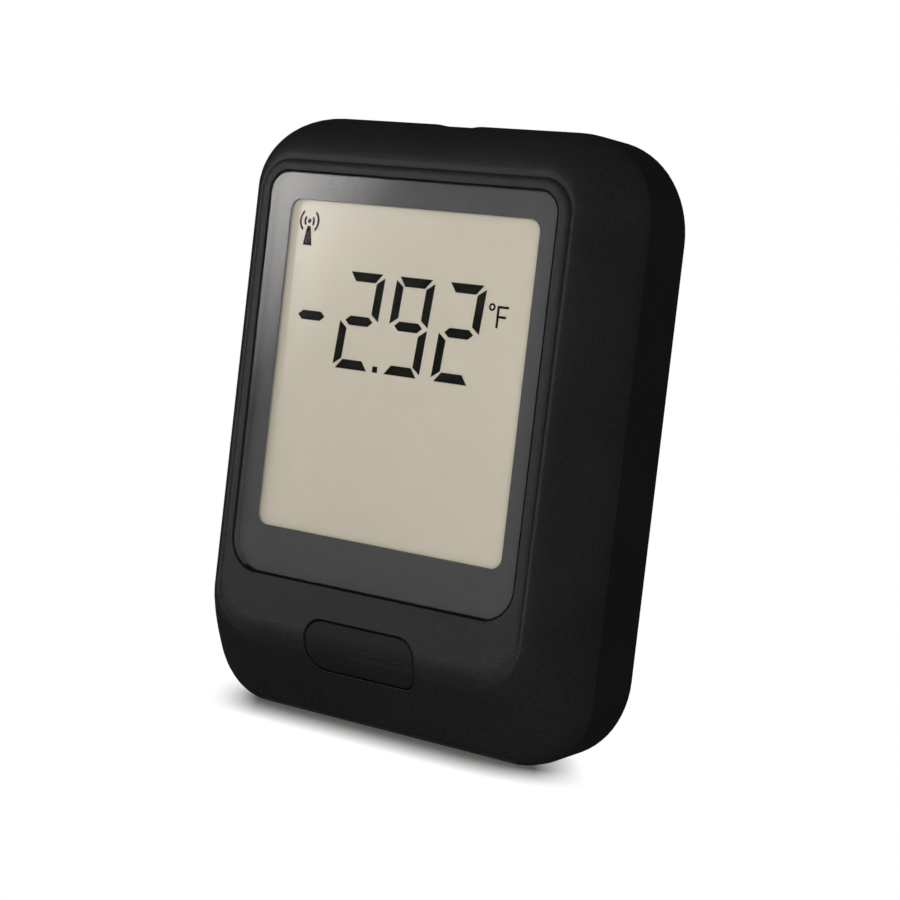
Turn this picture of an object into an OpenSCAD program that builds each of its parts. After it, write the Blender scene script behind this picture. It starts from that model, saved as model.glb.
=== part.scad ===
// Temperature data logger: a two-part moulded case on its bottom edge, with a flat window
// over a segment display, one press button in the chin, and the electronics inside.
// The front faces -Y, +X is to the viewer's right, +Z is up. The origin is the middle of the
// underside. Depths are counted from the front face, heights from the underside.

/* [Housing] */
// Width of the case
case_w = 75; // [73:1:84]
// Height of the case
case_h = 99.5; // [98:0.5:112]
// Depth of the case, front to back
case_d = 24; // [22.5:0.5:28]
// Depth of the joint between the two shells
part_depth = 13.2; // [12.8:0.1:14]
// Upper corner radius of the outline at the joint
corner_r = 13.6; // [12:0.1:14]
// Lower corner radius of the outline at the joint
low_corner_r = 11.3; // [10.5:0.1:14]
// Upper corner radius of the outline at the back face
back_corner_r = 15.7; // [13:0.1:18]
// Lower corner radius of the outline at the back face
low_back_r = 14.6; // [12:0.1:18]
// Thickness of the shell walls
wall = 2.2; // [1.8:0.1:2.4]
// Rounding of the back edge
back_edge_r = 0.8; // [0.4:0.1:1.2]

/* [Front relief] */
// How far the rim stands in from the side of the case
flank_in = 6.3; // [5.8:0.1:6.6]
// Depth over which the sides round away
flank_depth = 11.5; // [9:0.5:12]
// How far the rim stands in from the top of the case
top_in = 8.2; // [7.6:0.1:8.4]
// Depth over which the top rounds away
top_depth = 12.2; // [10:0.2:12.4]
// Rounding of the rim's edge
rim_round = 0.4; // [0.3:0.1:0.5]
// Depth of the crease outside the rim
crease_depth = 0.6; // [0.6:0.1:0.9]
// Upper corner radius of the rim
rim_corner_r = 5.4; // [5:0.2:6.4]
// Lower corner radius of the flat chin
chin_corner_r = 8; // [7:0.5:9]
// Height at which the flat chin ends
chin_flat_z = 15.6; // [15:0.1:17]
// Radius with which the chin rolls back
chin_roll_r = 9; // [7:0.5:11]
// Slope of the chin under the roll, in degrees from upright
chin_angle = 34; // [31:1:35]
// Rounding between the chin and the underside
base_round_r = 4; // [3:0.5:5]
// Width of the pry notch across the joint at the top
pry_w = 10; // [8:0.5:14]
// Depth of the pry notch
pry_t = 0.6; // [0.3:0.1:0.6]
// Length of the pry notch, front to back
pry_len = 8.5; // [7:0.5:9]
// How far the pry notch runs behind the joint
pry_back = 2.5; // [2:0.5:3]

/* [Window] */
// Gap from the side of the case to the window
window_side_gap = 8.5; // [8.4:0.1:10]
// Gap from the top of the case to the window
window_top_gap = 10.2; // [10:0.1:11]
// Height of the window's lower edge over the underside
window_low = 23.1; // [23:0.1:24.5]
// Upper corner radius of the window
window_top_r = 3.5; // [3:0.1:4]
// Lower corner radius of the window
window_low_r = 5.4; // [4.6:0.2:6]
// Thickness of the window
window_t = 1.3; // [1.1:0.1:1.5]
// How far the window lies under the rim
window_drop = 0.1; // [0:0.05:0.2]
// Gap round the window
window_gap = 0.2; // [0.15:0.05:0.3]
// Thickness of the printed border
border_t = 0.06; // [0.04:0.01:0.1]
// Width of the border at the sides
border_side = 3.7; // [3.4:0.1:5]
// Width of the border at the top
border_top = 4.3; // [4:0.1:5]
// Width of the border at the bottom
border_low = 7.75; // [7:0.05:8.5]
// Corner radius of the part that shows
view_r = 2; // [1.5:0.1:3]
// Thickness of the window tape
tape_t = 0.35; // [0.25:0.05:0.4]
// Thickness of the land behind the window tape
land_t = 1.2; // [1:0.1:1.4]

/* [Display] */
// Thickness of each display glass
glass_t = 0.8; // [0.7:0.05:0.9]
// Gap between the window and the front glass
glass_gap = 0.14; // [0.1:0.02:0.2]
// How far the front glass reaches past the part that shows, each side
glass_side = 1.6; // [1.2:0.1:1.6]
// How far both glasses reach above the part that shows
glass_over = 2.8; // [2:0.2:2.8]
// How far the front glass reaches below the part that shows
glass_under = 4.4; // [4.2:0.1:4.6]
// Height of the contact ledge that the rear glass leaves bare
contact_ledge = 3; // [2.8:0.1:3.2]
// Thickness of the segments
segment_t = 0.08; // [0.06:0.02:0.12]
// Thickness of the reflector film
reflector_t = 0.2; // [0.1:0.05:0.3]
// Height of one digit
digit_h = 15.85; // [14:0.05:16.5]
// Width of a digit's strokes
stroke_w = 1.55; // [1.2:0.05:1.6]
// Gap between two digits
digit_gap = 2.43; // [2:0.01:3]
// Width of the display that the four places leave free
digit_side = 9.68; // [9:0.04:12]
// Lean of the digits, in degrees
digit_lean = 4.8; // [0:0.6:9]
// Middle of the centre digit, to the right of the middle of the case
digit_x = 1.04; // [0.6:0.02:2]
// Gap from the top of the part that shows to the digits
digit_drop = 10.9; // [8:0.05:14]
// Depth of the display frame
frame_t = 5.2; // [5:0.1:5.4]
// Rim of the display frame outside the glass
frame_rim = 1.7; // [1.4:0.1:1.8]
// Thickness of the zebra strip
zebra_t = 1.8; // [1.4:0.1:2]

/* [Button] */
// Width of the button cap
button_w = 22.6; // [20:0.2:24]
// Height of the button cap
button_h = 8.2; // [7.8:0.1:8.6]
// Corner radius of the button cap
button_r = 3.3; // [2.6:0.1:3.7]
// Height of the button's middle
button_z = 13.2; // [13:0.1:13.6]
// Gap round the button cap
button_gap = 0.2; // [0.1:0.05:0.3]
// Travel of the button
button_travel = 0.5; // [0.3:0.1:0.6]
// Wall of the button cap
button_wall = 1.1; // [0.9:0.1:1.2]
// How far the cap's flange reaches past the cap
flange_over = 1.3; // [1.1:0.1:1.4]
// Thickness of the cap's flange
flange_t = 0.8; // [0.7:0.1:1]
// Depth of the seat behind which the flange lies
flange_seat = 5; // [4.9:0.1:5.2]
// Radius of the stem inside the cap
stem_r = 1.4; // [1.2:0.1:1.6]

/* [Switch] */
// Width of the switch
switch_w = 6; // [5.6:0.1:6.4]
// Height of the switch
switch_h = 4; // [3.8:0.1:4.2]
// Depth of the switch base
switch_base_t = 2.3; // [2.2:0.1:2.4]
// Thickness of the switch cover
switch_cover_t = 0.2; // [0.15:0.05:0.25]
// Radius of the switch plunger
plunger_r = 1; // [0.9:0.05:1.1]
// How far the plunger stands out of the switch
plunger_out = 0.9; // [0.8:0.1:1]
// Running gap round the plunger
plunger_gap = 0.05; // [0.03:0.01:0.08]
// Radius of the plunger's shoulder
shoulder_r = 1.45; // [1.4:0.05:1.5]
// Thickness of the plunger's shoulder
shoulder_t = 0.4; // [0.3:0.05:0.45]
// Thickness of the snap dome
dome_t = 0.1; // [0.08:0.01:0.12]
// Rise of the snap dome
dome_rise = 0.6; // [0.4:0.05:0.7]

/* [Boards] */
// Thickness of the main board
board_t = 1.6; // [1.4:0.1:1.6]
// Gap between the main board and the side wall
board_side_gap = 3.3; // [3:0.1:3.6]
// Gap between the main board and the underside
board_low_gap = 5.4; // [5.2:0.1:5.6]
// Gap between the main board and the top of the case
board_top_gap = 6; // [5.5:0.1:6.5]
// Length of the radio board
radio_l = 25; // [24:0.5:26]
// Width of the radio board
radio_w = 18; // [17:0.5:19]
// Thickness of the radio board
radio_t = 0.8; // [0.7:0.1:0.9]
// Height of the radio shield
shield_t = 2; // [1.8:0.1:2.2]
// Width of the microcontroller
mcu_w = 10; // [9:0.5:11]
// Thickness of the microcontroller
mcu_t = 1.4; // [1.2:0.1:1.6]
// Length of the memory chip
memory_l = 5; // [4.8:0.1:5.2]
// Width of the memory chip
memory_w = 4; // [3.8:0.1:4.2]
// Thickness of the memory chip
memory_t = 1.5; // [1.4:0.1:1.6]
// Length of the crystal can
crystal_l = 10.2; // [9.5:0.1:11]
// Width of the crystal can
crystal_w = 4.4; // [4:0.1:4.8]
// Height of the crystal can
crystal_t = 2.6; // [2.2:0.1:2.8]
// Radius of the temperature sensor's bead
bead_r = 1.1; // [0.9:0.1:1.2]
// Width of the power inductor
inductor_w = 5; // [4.6:0.1:5.4]
// Height of the power inductor
inductor_t = 2; // [1.6:0.1:2.4]
// Width of the charger chip
charger_w = 3; // [2.8:0.1:3.2]
// Thickness of the charger chip
charger_t = 0.9; // [0.8:0.1:1]
// Length of a chip resistor or capacitor
chip_l = 1.6; // [1.4:0.1:1.7]

/* [Socket] */
// Width of the USB shell
usb_w = 7.5; // [7.4:0.05:7.6]
// Height of the USB shell
usb_t = 2.45; // [2.4:0.05:2.5]
// Length of the USB shell
usb_l = 6.6; // [6.2:0.1:6.8]
// How far the USB shell's mouth lies inside the underside
usb_sink = 1; // [0.8:0.1:1.2]
// Thickness of the USB shell's sheet metal
usb_sheet = 0.25; // [0.2:0.05:0.3]
// Thickness of the USB tongue
tongue_t = 0.6; // [0.5:0.05:0.7]
// Gap between the USB shell and its opening
usb_gap = 0.2; // [0.15:0.05:0.25]

/* [Battery] */
// Gap from the side of the case to the battery
cell_side_gap = 13.5; // [13:0.5:16]
// Gap from the top of the case to the battery
cell_top_gap = 14; // [13:0.5:20]
// Height of the battery's lower end over the underside
cell_low = 31; // [30:0.5:34]
// Gap between the radio's shield and the battery
cell_gap = 0.7; // [0.5:0.1:1.2]
// Thickness of the pad behind the battery
pad_t = 0.5; // [0.4:0.1:0.6]
// Height of the tray's ribs
rib_t = 4; // [3:0.5:5]
// Thickness of the tray's ribs
rib_w = 1; // [0.8:0.1:1.2]
// Radius of a battery lead
lead_r = 0.65; // [0.5:0.05:0.7]

/* [Fasteners] */
// Distance of the case screws from the side of the case
screw_side = 8; // [7.8:0.1:8.2]
// Distance of the case screws from the top and the underside
screw_end = 9; // [8.8:0.1:9.2]
// Radius of the case screw's shank
screw_r = 1.25; // [1.1:0.05:1.3]
// Radius of the case screw's head
screw_head_r = 2.2; // [2:0.1:2.3]
// Height of the case screw's head
screw_head_t = 1.6; // [1.4:0.1:1.8]
// Length of the case screw's shank
screw_l = 8.5; // [8:0.5:9]
// Depth of the screw's seat behind the joint
seat_t = 4; // [3.5:0.5:5]
// Radius of the front shell's screw bosses
boss_r = 2.9; // [2.7:0.1:3]
// Radius of the board screw's shank
board_screw_r = 0.95; // [0.85:0.05:1]
// Radius of the board screw's head
board_head_r = 1.8; // [1.6:0.1:1.9]
// Height of the board screw's head
board_head_t = 1.3; // [1.1:0.1:1.4]
// Length of the board screw's shank
board_screw_l = 4.6; // [4.2:0.2:5]
// Radius of the board posts
post_r = 2.2; // [2:0.1:2.3]
// Thickness of the case seal
seal_w = 0.9; // [0.7:0.1:1]
// Height of the case seal
seal_t = 0.8; // [0.6:0.1:1]
// Width of the rear label
label_w = 44; // [36:1:48]
// Height of the rear label
label_h = 30; // [24:1:40]
// Thickness of the rear label
label_t = 0.2; // [0.15:0.05:0.25]

/* [Hidden] */
// Overrun of every cut
over = 0.5;
// Fit between a screw and its hole
screw_gap = 0.05;
// Clearance between pieces that lie side by side
side_gap = 0.25;
// Steps in a quarter corner of the moulded skin
corner_steps = 7;
// Steps along the rounded flank of the moulded skin
flank_steps = 11;
// Bluntness of the side flank, 2 is an ellipse
flank_power = 1.63;
// Sides of round pieces
$fn = 48;

window_w = case_w - 2 * window_side_gap;
window_top = case_h - window_top_gap;
window_back = window_drop + window_t;
border_back = window_back + border_t;
land_front = border_back + tape_t;
land_back = land_front + land_t;
view_w = window_w - 2 * border_side;
view_top = window_top - border_top;
view_low = window_low + border_low;
view_h = view_top - view_low;
digit_pitch = (view_w - digit_side) / 4;
digit_w = digit_pitch - digit_gap;

glass_front = border_back + glass_gap;
segment_front = glass_front + glass_t;
segment_back = segment_front + segment_t;
rear_glass_back = segment_back + glass_t;
reflector_back = rear_glass_back + reflector_t;
glass_w = view_w + 2 * glass_side;
glass_top = view_top + glass_over;
glass_low = view_low - glass_under;
rear_glass_low = glass_low + contact_ledge;
frame_w = glass_w + 2 * (side_gap + frame_rim);
frame_low = glass_low - side_gap - frame_rim;

board_front = land_back + frame_t;
board_back = board_front + board_t;
board_w = case_w - 2 * (wall + board_side_gap);
board_top = case_h - board_top_gap;
board_low = board_low_gap;
rear_inner = case_d - wall;
screw_x = case_w / 2 - screw_side;
screw_places = [for (side = [-1, 1]) for (z = [screw_end, case_h - screw_end]) [side * screw_x, z]];
screw_seat = part_depth + seat_t;
tube_r = screw_head_r + side_gap + wall / 2;
post_top_z = case_h - wall - 2.6 * post_r;
post_low_z = window_low - 1.6 * post_r;
post_top_x = frame_w / 4;
post_low_x = frame_w / 2 - 2 * post_r;
frame_top = post_top_z - post_r - side_gap;
post_places = [for (side = [-1, 1])
    each [[side * post_top_x, post_top_z], [side * post_low_x, post_low_z]]];

flange_w = button_w + 2 * flange_over;
flange_h = button_h + 2 * flange_over;
collar_w = flange_w + 2 * (side_gap + wall / 2);
collar_h = flange_h + 2 * (side_gap + wall / 2);
switch_front = board_front - switch_base_t - switch_cover_t;
plunger_front = switch_front - plunger_out;
usb_mid = board_back + usb_t / 2;
usb_cut_w = usb_w + 2 * usb_gap;
usb_cut_t = usb_t + 2 * usb_gap;

cell_back = rear_inner - pad_t;
cell_front = board_back + radio_t + shield_t + cell_gap;
cell_w = case_w - 2 * cell_side_gap;
cell_top = case_h - cell_top_gap;
cell_h = cell_top - cell_low;
cell_mid_z = (cell_low + cell_top) / 2;
terrace_h = 4;
terrace_t = 1;
circuit_t = 1.6;
circuit_w = 0.75 * cell_w;
terrace_front = (cell_front + cell_back) / 2;
circuit_front = terrace_front - circuit_t;
plug_w = 6.4;
plug_h = 4.6;
plug_t = 3;
header_w = plug_w + 1.6;
header_h = 6;
header_t = 4.4;
header_x = post_low_x - post_r - header_w / 2 - side_gap;
header_low = button_z + collar_h / 4;
plug_low = header_low + header_h - plug_h / 2;
plug_mid = board_back + header_t / 2;
lead_step = 2;

// Share of an inset that is left at share t of the way along a rounded flank
function round_share(t, power) = 1 - pow(1 - pow(1 - min(max(t, 0), 1), power), 1 / power);
// Inset of the side of the skin at depth d
function side_inset(d) = d < crease_depth
    ? flank_in + (rim_round - min(d, rim_round)) * (rim_round - min(d, rim_round)) / rim_round
    : (flank_in - rim_round) * round_share((d - crease_depth) / flank_depth, flank_power);
// Inset of the top of the skin at depth d
function top_inset(d) = d < crease_depth
    ? top_in + (rim_round - min(d, rim_round)) * (rim_round - min(d, rim_round)) / rim_round
    : (top_in - rim_round) * round_share((d - crease_depth) / top_depth, 2);
// Depth and height where the roll of the chin turns into its slope
roll_end_depth = chin_roll_r * (1 - cos(chin_angle));
roll_end_z = chin_flat_z - chin_roll_r * sin(chin_angle);
// Depth at which the slope would reach the underside, and where it is rounded off
slope_foot = roll_end_depth + roll_end_z * tan(chin_angle);
foot_tangent = base_round_r * tan((90 - chin_angle) / 2);
base_depth = slope_foot + foot_tangent;
foot_depth = slope_foot - foot_tangent * sin(chin_angle);
// Lowest height of the skin at depth d
function chin_height(d) = d >= base_depth ? 0
    : d > foot_depth ? base_round_r - sqrt(pow(base_round_r, 2) - pow(base_depth - d, 2))
    : d > roll_end_depth ? roll_end_z - (d - roll_end_depth) / tan(chin_angle)
    : chin_flat_z - sqrt(pow(chin_roll_r, 2) - pow(chin_roll_r - max(d, 0), 2));
// Corner radii of the skin at depth d, from those at the rim to those at the joint
function upper_corner(d) = corner_r - (corner_r - rim_corner_r) * min(side_inset(d) / flank_in, 1);
function lower_corner(d) = low_corner_r - (low_corner_r - chin_corner_r) * min(side_inset(d) / flank_in, 1);
// Rounded outline as a ring of points at one depth, with low_r at the bottom and top_r at the top
function ring(d, w, low, top, low_r, top_r) = [
    for (corner = [0:3]) for (i = [0:corner_steps])
        let (a = 90 * (corner + i / corner_steps), r = corner < 2 ? top_r : low_r)
        let (x = (corner == 0 || corner == 3) ? w / 2 - r : r - w / 2)
        let (z = corner < 2 ? top - r : low + r)
        [x + r * cos(a), d - case_d / 2, z + r * sin(a)]];
function front_ring(d) = ring(d, case_w - 2 * side_inset(d), chin_height(d), case_h - top_inset(d),
    lower_corner(d), upper_corner(d));
// Ring of the hollow behind the skin, a wall thickness inside it
function hollow_ring(d) = let (out = max(d - wall, 0))
    ring(d, case_w - 2 * (side_inset(max(d - wall / 2, crease_depth)) + wall),
        max(chin_height(max(d - wall / cos(chin_angle), 0)), wall),
        case_h - top_inset(max(d - wall / 2, crease_depth)) - wall,
        max(lower_corner(out) - wall, wall), max(upper_corner(out) - wall, wall));
// Ring of the rear shell at depth d, drawn in by inset
function rear_ring(d, inset) = let (t = (d - part_depth) / (case_d - part_depth))
    ring(d, case_w - 2 * inset, inset, case_h - inset, low_corner_r + (low_back_r - low_corner_r) * t - inset,
        corner_r + (back_corner_r - corner_r) * t - inset);

// Closed skin through a list of rings, from front to back
module skin(rings) {
    n = len(rings[0]);
    last = len(rings) - 1;
    sides = [for (k = [0:last - 1]) for (i = [0:n - 1]) let (j = (i + 1) % n)
        each [[k * n + i, k * n + j, (k + 1) * n + j], [k * n + i, (k + 1) * n + j, (k + 1) * n + i]]];
    front = [for (i = [1:n - 2]) [0, i + 1, i]];
    back = [for (i = [1:n - 2]) [last * n, last * n + i, last * n + i + 1]];
    polyhedron([for (r = rings) each r], concat(sides, front, back));
}

// Flat shape drawn in x and z, extruded from depth d0 to depth d1
module slab(d0, d1) {
    translate([0, d1 - case_d / 2, 0]) rotate([90, 0, 0]) linear_extrude(d1 - d0) children();
}

// Rectangle centred on x, from low to high, with low_r and high_r corners
module rounded(w, low, high, low_r, high_r) {
    for (side = [-1, 1]) {
        translate([side * (w / 2 - low_r), low + low_r]) circle(low_r);
        translate([side * (w / 2 - high_r), high - high_r]) circle(high_r);
    }
    translate([low_r - w / 2, low]) square([w - 2 * low_r, (high - low) / 2]);
    translate([high_r - w / 2, (high + low) / 2]) square([w - 2 * high_r, (high - low) / 2]);
    translate([-w / 2, low + low_r]) square([w, high - low - low_r - high_r]);
}

// Rectangle of width w and height h with its middle at x and z
module plate(x, z, w, h) {
    translate([x - w / 2, z - h / 2]) square([w, h]);
}

// Pill outline of the button, grown by extra all round
module pill(extra) {
    rounded(button_w + 2 * extra, button_z - button_h / 2 - extra, button_z + button_h / 2 + extra,
        button_r + extra, button_r + extra);
}

// Outline of the case at the joint, drawn in by inset
module joint_outline(inset) {
    rounded(case_w - 2 * inset, inset, case_h - inset, low_corner_r - inset, corner_r - inset);
}

module front_skin() {
    shares = [for (i = [0:flank_steps]) pow(i / flank_steps, 1.6)];
    depths = concat([0, rim_round / 3, rim_round, crease_depth - rim_round / 10],
        [for (s = shares) crease_depth + s * (part_depth - crease_depth)]);
    skin([for (d = depths) front_ring(d)]);
}

module front_hollow() {
    steps = 7;
    depths = [for (i = [0:steps]) wall + pow(i / steps, 1.3) * (part_depth - wall)];
    skin(concat([for (d = depths) hollow_ring(d)], [
        [for (p = hollow_ring(part_depth)) [p[0], p[1] + over, p[2]]]]));
}

module screw_bosses() {
    for (p = screw_places)
        slab(flange_seat, part_depth) translate(p) circle(boss_r);
}

module board_posts() {
    for (p = post_places)
        slab(wall, board_front) translate(p) circle(post_r);
}

module front_case() {
    color("#26241f") difference() {
        front_skin();
        difference() {
            front_hollow();
            screw_bosses();
            board_posts();
            slab(wall - over, land_back)
                rounded(frame_w + wall, window_low - wall, window_top + wall, window_low_r, window_top_r);
            slab(wall - over, flange_seat) intersection() {
                rounded(collar_w, button_z - collar_h / 2, button_z + collar_h / 2, button_r, button_r);
                translate([-collar_w / 2, 0]) square([collar_w, window_low]);
            }
        }
        slab(-over, land_front) rounded(window_w + 2 * window_gap, window_low - window_gap,
            window_top + window_gap, window_low_r + window_gap, window_top_r + window_gap);
        slab(0, land_back + over) rounded(glass_w + 2 * side_gap, glass_low - side_gap, glass_top + side_gap,
            view_r / 2, view_r / 2);
        slab(-over, flange_seat + over) pill(button_gap);
        slab(flange_seat, board_front) pill(flange_over + side_gap);
        for (p = screw_places)
            slab(screw_seat - screw_l - over, part_depth + over) translate(p) circle(screw_r + screw_gap);
        for (p = post_places)
            slab(board_back - board_screw_l - over, board_front + over) translate(p)
                circle(board_screw_r + screw_gap);
        slab(usb_mid - usb_cut_t / 2, usb_mid + usb_cut_t / 2)
            plate(0, 0, usb_cut_w, 2 * (wall + usb_sink + over));
        pry_notch();
    }
}

module pry_notch() {
    pry_end = part_depth + pry_back;
    slab(pry_end - pry_len, pry_end) plate(0, case_h, pry_w, 2 * pry_t);
}

module rear_case() {
    edge_shares = [0, 0.4, 0.75, 1];
    rim = [for (s = edge_shares) [case_d - back_edge_r * (1 - s), back_edge_r * (1 - sqrt(1 - s * s))]];
    color("#1a1815") difference() {
        union() {
            difference() {
                skin(concat([rear_ring(part_depth, 0)], [for (p = rim) rear_ring(p[0], p[1])]));
                difference() {
                    skin([rear_ring(part_depth - over, wall), rear_ring(rear_inner, wall)]);
                    for (p = screw_places)
                        slab(part_depth, rear_inner + over) translate(p) circle(tube_r);
                    battery_tray();
                }
            }
            locating_lip();
        }
        for (p = screw_places) {
            slab(part_depth - over, screw_seat + over) translate(p)
                circle(screw_r + screw_gap + side_gap / 2);
            slab(screw_seat, case_d + over) translate(p) circle(screw_head_r + side_gap);
        }
        slab(part_depth - over, part_depth + seal_t) difference() {
            joint_outline((wall - seal_w) / 2);
            joint_outline((wall + seal_w) / 2);
        }
        slab(case_d - label_t, case_d + over)
            rounded(label_w + side_gap, cell_mid_z - (label_h + side_gap) / 2,
                cell_mid_z + (label_h + side_gap) / 2, view_r, view_r);
        pry_notch();
    }
}

// Lip of the rear shell that drops inside the front shell, open at the socket
module locating_lip() {
    lip_in = wall + side_gap;
    slab(part_depth - wall / 2, part_depth + wall / 2) difference() {
        joint_outline(lip_in);
        joint_outline(lip_in + wall / 3);
        plate(0, 0, usb_cut_w + wall, 4 * wall);
    }
    slab(part_depth, part_depth + wall / 2) difference() {
        joint_outline(wall - side_gap / 2);
        joint_outline(lip_in + wall / 4);
        plate(0, 0, usb_cut_w + wall, 4 * wall);
    }
}

// Ribs round the battery, open under it for the leads
module battery_tray() {
    inner = side_gap;
    slab(rear_inner - rib_t, rear_inner + over) difference() {
        rounded(cell_w + 2 * (inner + rib_w), cell_low - terrace_h - inner - rib_w, cell_top + inner + rib_w,
            rib_w, rib_w);
        plate(0, (cell_low + cell_top - terrace_h) / 2, cell_w + 2 * inner, cell_h + terrace_h + 2 * inner);
        plate(0, cell_low - terrace_h, circuit_w, 4 * rib_w);
    }
}

module case_seal() {
    color("#3a3a3c") slab(part_depth, part_depth + seal_t) difference() {
        joint_outline((wall - seal_w) / 2);
        joint_outline((wall + seal_w) / 2);
    }
}

module window_shape(inset) {
    rounded(window_w - 2 * inset, window_low + inset, window_top - inset, window_low_r - inset,
        window_top_r - inset);
}

module display_window() {
    color([0.75, 0.78, 0.8, 0.3]) slab(window_drop, window_back) window_shape(0);
}

module window_border() {
    color("#4a4a4c") slab(window_back, border_back) difference() {
        window_shape(0);
        rounded(view_w, view_low, view_top, view_r, view_r);
    }
}

module window_tape() {
    color("#222222") slab(border_back, land_front) difference() {
        window_shape(window_gap);
        rounded(glass_w + 2 * side_gap, glass_low - side_gap, glass_top + side_gap, view_r / 2, view_r / 2);
    }
}

module glass_shape(low) {
    plate(0, (glass_top + low) / 2, glass_w, glass_top - low);
}

module lcd_front_glass() {
    color([0.8, 0.85, 0.82, 0.3]) slab(glass_front, segment_front) glass_shape(glass_low);
}

module lcd_rear_glass() {
    color("#bfb7a6") slab(segment_back, rear_glass_back) glass_shape(rear_glass_low);
}

module lcd_reflector() {
    color("#c9c9c6") slab(rear_glass_back, reflector_back) glass_shape(rear_glass_low);
}

// Shares of the stroke's width: where a bar starts from the digit's corner, how its ends slant, where the tips of
// the middle bar lie, how they taper, and half the gap at the waist
corner_share = 0.39;
slant_share = 0.83;
upright_slant_share = 0.69;
middle_inset_share = 0.69;
tip_share = 0.6;
waist_share = 0.14;
// Bars that are switched on in each place, counted from the top round to the upper left, then the middle
lit_bars = [[6], [0, 1, 3, 4, 6], [0, 1, 2, 3, 5, 6], [0, 1, 3, 4, 6]];

// Outline of the bar along the top of a digit whose middle is at 0
function level_bar() = let (x = digit_w / 2 - corner_share * stroke_w, z = digit_h / 2)
    [[-x, z], [x, z], [x - slant_share * stroke_w, z - stroke_w], [slant_share * stroke_w - x, z - stroke_w]];
// Outline of the bar at the upper right of such a digit
function upright_bar() = let (x = digit_w / 2, high = digit_h / 2 - corner_share * stroke_w)
    let (low = waist_share * stroke_w, slant = upright_slant_share * stroke_w)
    [[x, high], [x, low], [x - stroke_w, low + slant], [x - stroke_w, high - slant]];
// Outline of the bar through the middle of such a digit
function middle_bar() = let (tip = digit_w / 2 - middle_inset_share * stroke_w)
    let (flat = tip - tip_share * stroke_w, z = stroke_w / 2)
    [[-tip, 0], [-flat, z], [flat, z], [tip, 0], [flat, -z], [-flat, -z]];
// Outline points turned about the digit's middle, with signs for left or right and up or down
function turned(points, sx, sz) = [for (p = points) [sx * p[0], sz * p[1]]];
function bar(n) = n == 6 ? middle_bar()
    : n == 0 || n == 3 ? turned(level_bar(), 1, n == 0 ? 1 : -1)
    : turned(upright_bar(), n < 3 ? 1 : -1, n == 1 || n == 5 ? 1 : -1);

module digit(place) {
    middle = digit_x + (place - 2) * digit_pitch;
    for (n = lit_bars[place])
        polygon([for (p = bar(n))
            [middle + p[0] + p[1] * tan(digit_lean), view_top - digit_drop - digit_h / 2 + p[1]]]);
}

module arc_band(r, t, half_angle) {
    steps = 8;
    angles = [for (i = [0:steps]) half_angle * (2 * i / steps - 1)];
    polygon(concat([for (a = angles) (r + t / 2) * [cos(a), sin(a)]],
        [for (i = [steps:-1:0]) (r - t / 2) * [cos(angles[i]), sin(angles[i])]]));
}

// Shares of the mast's height: its line width, the foot's half width, the drop of its head under the dot, and the
// radius of each pair of waves
mark_line_share = 0.11;
mast_foot_share = 0.29;
mast_head_share = 0.27;
wave_r_shares = [0.3, 0.61];

// Mast with a dot and waves on both sides, drawn about the dot
module antenna_mark() {
    mast_h = digit_h / 5;
    line = mark_line_share * mast_h;
    foot = mast_foot_share * mast_h;
    head = mast_head_share * mast_h;
    polygon([[line, -head], [foot, -head - mast_h], [-foot, -head - mast_h], [-line, -head]]);
    circle(line, $fn = 24);
    for (turn = [0, 180]) rotate(turn) {
        arc_band(wave_r_shares[0] * mast_h, line, 42);
        arc_band(wave_r_shares[1] * mast_h, line, 50);
    }
}

// Shares of the letter's height: its line width, its arms' lengths, and the degree ring's radius and place
letter_line_share = 0.11;
upper_arm_share = 0.62;
middle_arm_share = 0.52;
ring_r_share = 0.175;
ring_x_share = -0.3;

// Degree ring and a plain letter F, drawn about the letter's lower left
module unit_mark(letter_h) {
    line = letter_line_share * letter_h;
    ring_r = ring_r_share * letter_h;
    translate([ring_x_share * letter_h, letter_h - ring_r / 2]) difference() {
        circle(ring_r, $fn = 24);
        circle(ring_r / 2, $fn = 24);
    }
    square([line, letter_h]);
    translate([0, letter_h - line]) square([upper_arm_share * letter_h, line]);
    translate([0, (letter_h - line) / 2]) square([middle_arm_share * letter_h, line]);
}

// Places of the small marks, as shares of the digits' pitch from the middle digit and of the digits' height
dot_x_share = -0.57;
dot_size_share = 0.65;
unit_x_share = 1.68;
unit_z_share = 0.6;
letter_h_share = 0.22;
mark_x_share = -2.257;
mark_drop_share = 0.217;

module lcd_segments() {
    digit_low = view_top - digit_drop - digit_h;
    dot = dot_size_share * stroke_w;
    color("#1e1e1c") slab(segment_front, segment_back) {
        for (place = [0:3]) digit(place);
        plate(digit_x + dot_x_share * digit_pitch, digit_low + dot / 2, dot, dot);
        translate([digit_x + unit_x_share * digit_pitch, digit_low + unit_z_share * digit_h])
            unit_mark(letter_h_share * digit_h);
        translate([digit_x + mark_x_share * digit_pitch, view_top - mark_drop_share * digit_h])
            antenna_mark();
    }
}

module lcd_frame() {
    seat = reflector_back;
    color("#e8e6e0") difference() {
        slab(land_back, board_front) plate(0, (frame_top + frame_low) / 2, frame_w, frame_top - frame_low);
        slab(land_back - over, seat)
            plate(0, (glass_top + glass_low) / 2, glass_w + side_gap, glass_top - glass_low + side_gap);
        slab(land_back, board_front + over)
            plate(0, (view_top + view_low) / 2, view_w - 2 * frame_rim, view_h - 2 * frame_rim);
        slab(land_back, board_front + over) zebra_shape(side_gap / 2);
        for (p = screw_places)
            slab(land_back - over, board_front + over) translate(p) circle(boss_r + side_gap);
    }
}

module zebra_shape(extra) {
    plate(0, (glass_low + rear_glass_low) / 2, view_w - 2 * frame_rim + 2 * extra, zebra_t + 2 * extra);
}

module zebra_strip() {
    color("#c8a0a8") slab(segment_front, board_front) zebra_shape(0);
}

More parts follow.
